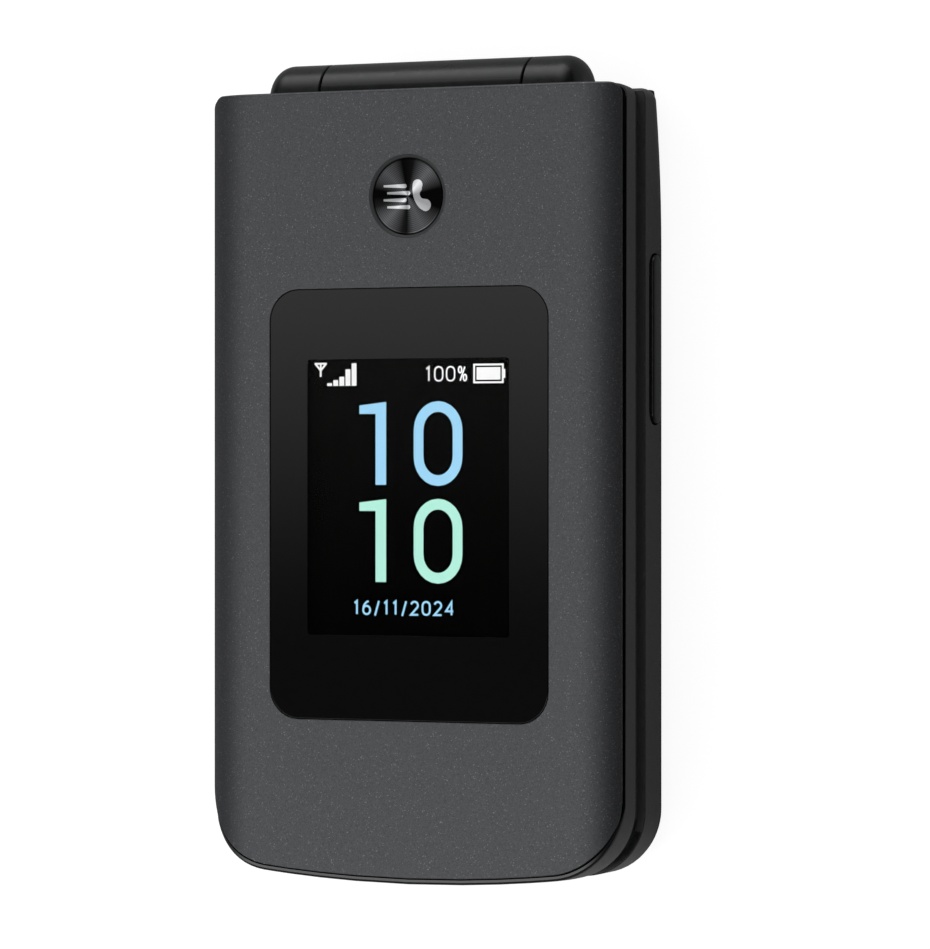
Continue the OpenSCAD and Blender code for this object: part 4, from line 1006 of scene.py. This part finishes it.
def make_nav():
    """The four-way ring, softly crowned, and the dished key in its middle."""
    edge_r, crown_h, crown_w = 0.45, 0.1, 4.5
    levels = [(-FLANGE, FLANGE_Z0), (-FLANGE, RING_FLANGE_Z1), (0, RING_FLANGE_Z1)] + edge(edge_r, KEY_TOP - crown_h)
    levels += [(edge_r + d, KEY_TOP - crown_h * (1 - d / crown_w) ** 2) for d in (0.8, 1.8, 3.0, crown_w)]
    nav = pill("nav_ring_pad", 0, NAV_Y, NAV_W, NAV_L, NAV_R, levels, n=14)
    inner, room_z, below, above = OK_R + RUN, 9.15, 8, 11
    hole = [(inner + FLANGE, below), (inner + FLANGE, room_z), (inner, room_z), (inner, KEY_TOP - 0.25),
            (inner + 0.08, KEY_TOP - 0.08), (inner + 0.3, KEY_TOP + 0.02), (inner + 0.3, above)]
    carve(nav, [lathe("cut", 0, NAV_Y, hole)])
    piece(nav, "nav_ring", "nav_metal", "nav_metal", "nav_ring")
    flange_r = OK_R + FLANGE
    ok = STEM_FOOT + [(STEM_R, FLANGE_Z0), (flange_r, FLANGE_Z0), (flange_r, RING_FLANGE_Z1),
                      (OK_R, RING_FLANGE_Z1), (OK_R, KEY_TOP - 0.35), (OK_R - 0.1, KEY_TOP - 0.12),
                      (OK_R - 0.35, KEY_TOP), (2.4, KEY_TOP - 0.12), (0, KEY_TOP - 0.18)]
    piece(lathe("ok_key_cap", 0, NAV_Y, ok), "ok_key", "key_plastic", "key_plastic", "ok_key")


def make_rocker():
    """The volume rocker, standing a little out of its slot, and its stem."""
    outer, root = HALF + ROCKER_OUT, HALF - 0.4
    rocker = pill("volume_rocker_cap", ROCKER_Y, ROCKER_Z, ROCKER_L, ROCKER_W, ROCKER_W / 2 - 0.01,
                  [(0, root)] + edge(0.3, outer - 0.04) + [(0.6, outer - 0.01), (0.9, outer)], SIDE, 12)
    stem = pill("add", ROCKER_Y, ROCKER_Z, ROCKER_L - 5, ROCKER_W - 1.2, 0.69,
                [(0, HALF - 1.9), (0, root - 0.01)], SIDE)
    rocker = joined("volume_rocker_cap", [rocker, stem])
    piece(rocker, "volume_rocker", "key_plastic", "black_frame", "volume_rocker")


# ---- nodes that keep their CAD shape
CARRIED = {
    "board": ("lid_board", "main_board"),
    "steel": ("call_switch", "lid_magnet", "lid_screws", "base_screws", "hinge_cartridge", "hinge_shaft",
              "hinge_sleeve", "microphone", "vibration_motor", "usb_port", "sim_holder", "volume_switch",
              "earpiece_mesh"),
    "black_matte": ("earpiece", "rear_housing", "speaker", "camera_module", "headphone_jack"),
    "rubber": ("lid_bumpers",), "flex": ("lid_flex",), "brass": ("antenna",), "battery_wrap": ("battery",),
    "film": ("dome_sheet", "flash_window"), "display": ("outer_display", "main_display"),
    "clear_window": ("main_lens",), "lens_glass": ("camera_window",),
}


def dress_carried():
    for material, nodes in CARRIED.items():
        for node in nodes:
            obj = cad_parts[node]
            obj.data.materials.clear()
            obj.data.materials.append(M[material])


# ---- floor, world and lamps
def make_stage():
    """A pale floor, lit so that it's white to the camera and through glass and keeps the phone's shadow."""
    bpy.ops.mesh.primitive_plane_add(size=6, location=(0, 0, -0.00003))
    floor = bpy.context.object
    floor.name = "floor"
    mat = bpy.data.materials.new("floor")
    mat.use_nodes = True
    g = Graph(mat.node_tree)
    g.nodes.clear()
    out = g.nodes.new("ShaderNodeOutputMaterial")
    path = g.nodes.new("ShaderNodeLightPath")
    total = 0.0
    for ray, gain in (("Is Camera Ray", 0.87), ("Is Transmission Ray", 0.87), ("Is Glossy Ray", 0.08)):
        total = g.math("MULTIPLY_ADD", path.outputs[ray], gain, total)
    diffuse = g.node("ShaderNodeBsdfDiffuse", Color=(0.3, 0.3, 0.3, 1))
    light = g.node("ShaderNodeEmission", Color=(1, 1, 1, 1), Strength=total)
    add = g.nodes.new("ShaderNodeAddShader")
    g.feed(add.inputs[0], diffuse.outputs[0])
    g.feed(add.inputs[1], light.outputs[0])
    g.feed(out.inputs["Surface"], add.outputs[0])
    floor.data.materials.append(mat)


def make_world():
    """White to the camera. Surfaces see a dim room with soft panels: far, beyond the hinge, near and at the end."""
    world = bpy.data.worlds.new("world")
    bpy.context.scene.world = world
    world.use_nodes = True
    g = Graph(world.node_tree)
    g.nodes.clear()
    out = g.nodes.new("ShaderNodeOutputWorld")
    path = g.nodes.new("ShaderNodeLightPath").outputs
    way = g.split(g.nodes.new("ShaderNodeTexCoord").outputs["Generated"])

    def fade(axis, low, high, to_low, to_high):
        return g.span(way[axis], low, high, to_low, to_high, "SMOOTHSTEP")

    far_panel = g.math("MULTIPLY", fade("Y", -0.04, 0.07, 0.06, 1.28), fade("Y", 0.31, 0.39, 1.0, 0.1))
    near_panel = g.math("MULTIPLY", fade("Y", -0.44, -0.38, 0.0, 2.85), fade("Y", -0.15, -0.09, 1.0, 0.0))
    end_panel = fade("Y", 0.58, 1.0, 0.0, 3.2)
    sides = g.math("MULTIPLY", fade("X", -0.98, -0.54, 0.09, 1.0), fade("X", -0.075, 0.67, 1.0, 0.0))
    room = g.math("MULTIPLY", g.math("ADD", g.math("ADD", far_panel, near_panel), end_panel), sides)
    soft = g.span(way["X"], -0.6, 0.8, 0.8, 0.5)
    # A ray that leaves glass after it was mirrored or scattered sees the room as its first bounce did
    passing = path["Is Transmission Ray"]
    mirrored = g.math("MULTIPLY", passing, g.math("GREATER_THAN", path["Glossy Depth"], 0.5))
    scattered = g.math("MULTIPLY", passing, g.math("GREATER_THAN", path["Diffuse Depth"], 0.5))
    unchanged = g.math("SUBTRACT", passing, g.math("MAXIMUM", mirrored, scattered))
    seen = g.math("MAXIMUM", path["Is Camera Ray"], unchanged)
    gloss = g.math("MULTIPLY", room, g.math("MAXIMUM", path["Is Glossy Ray"], mirrored))
    diffuse = g.math("MULTIPLY", soft, g.math("MAXIMUM", path["Is Diffuse Ray"], scattered))
    total = g.math("ADD", g.math("ADD", gloss, diffuse), seen)
    background = g.node("ShaderNodeBackground", Color=(1, 1, 1, 1), Strength=total)
    g.feed(out.inputs["Surface"], background.outputs[0])


def make_lamp():
    """One soft key lamp at the front left. It isn't mirrored by the phone."""
    place, size, watts = (-0.9, -0.5, 0.9), 0.7, 4.5
    data = bpy.data.lights.new("key", "AREA")
    data.shape = "DISK"
    data.size = size
    data.energy = watts
    obj = bpy.data.objects.new("key", data)
    bpy.context.scene.collection.objects.link(obj)
    obj.location = place
    obj.rotation_euler = (-Vector(place)).to_track_quat("-Z", "Y").to_euler()
    obj.visible_glossy = False


make_camera()
make_stage()
make_world()
make_lamp()
make_lid_cover()
make_lid_frame()
make_lid_bezel()
make_outer_window()
make_outer_picture()
make_inner_picture()
make_call_button()
make_pictogram()
make_keypad_housing()
make_battery_cover()
make_keys()
make_legends()
make_nav()
make_rocker()
dress_carried()
bpy.context.scene.view_settings.view_transform = "Standard"
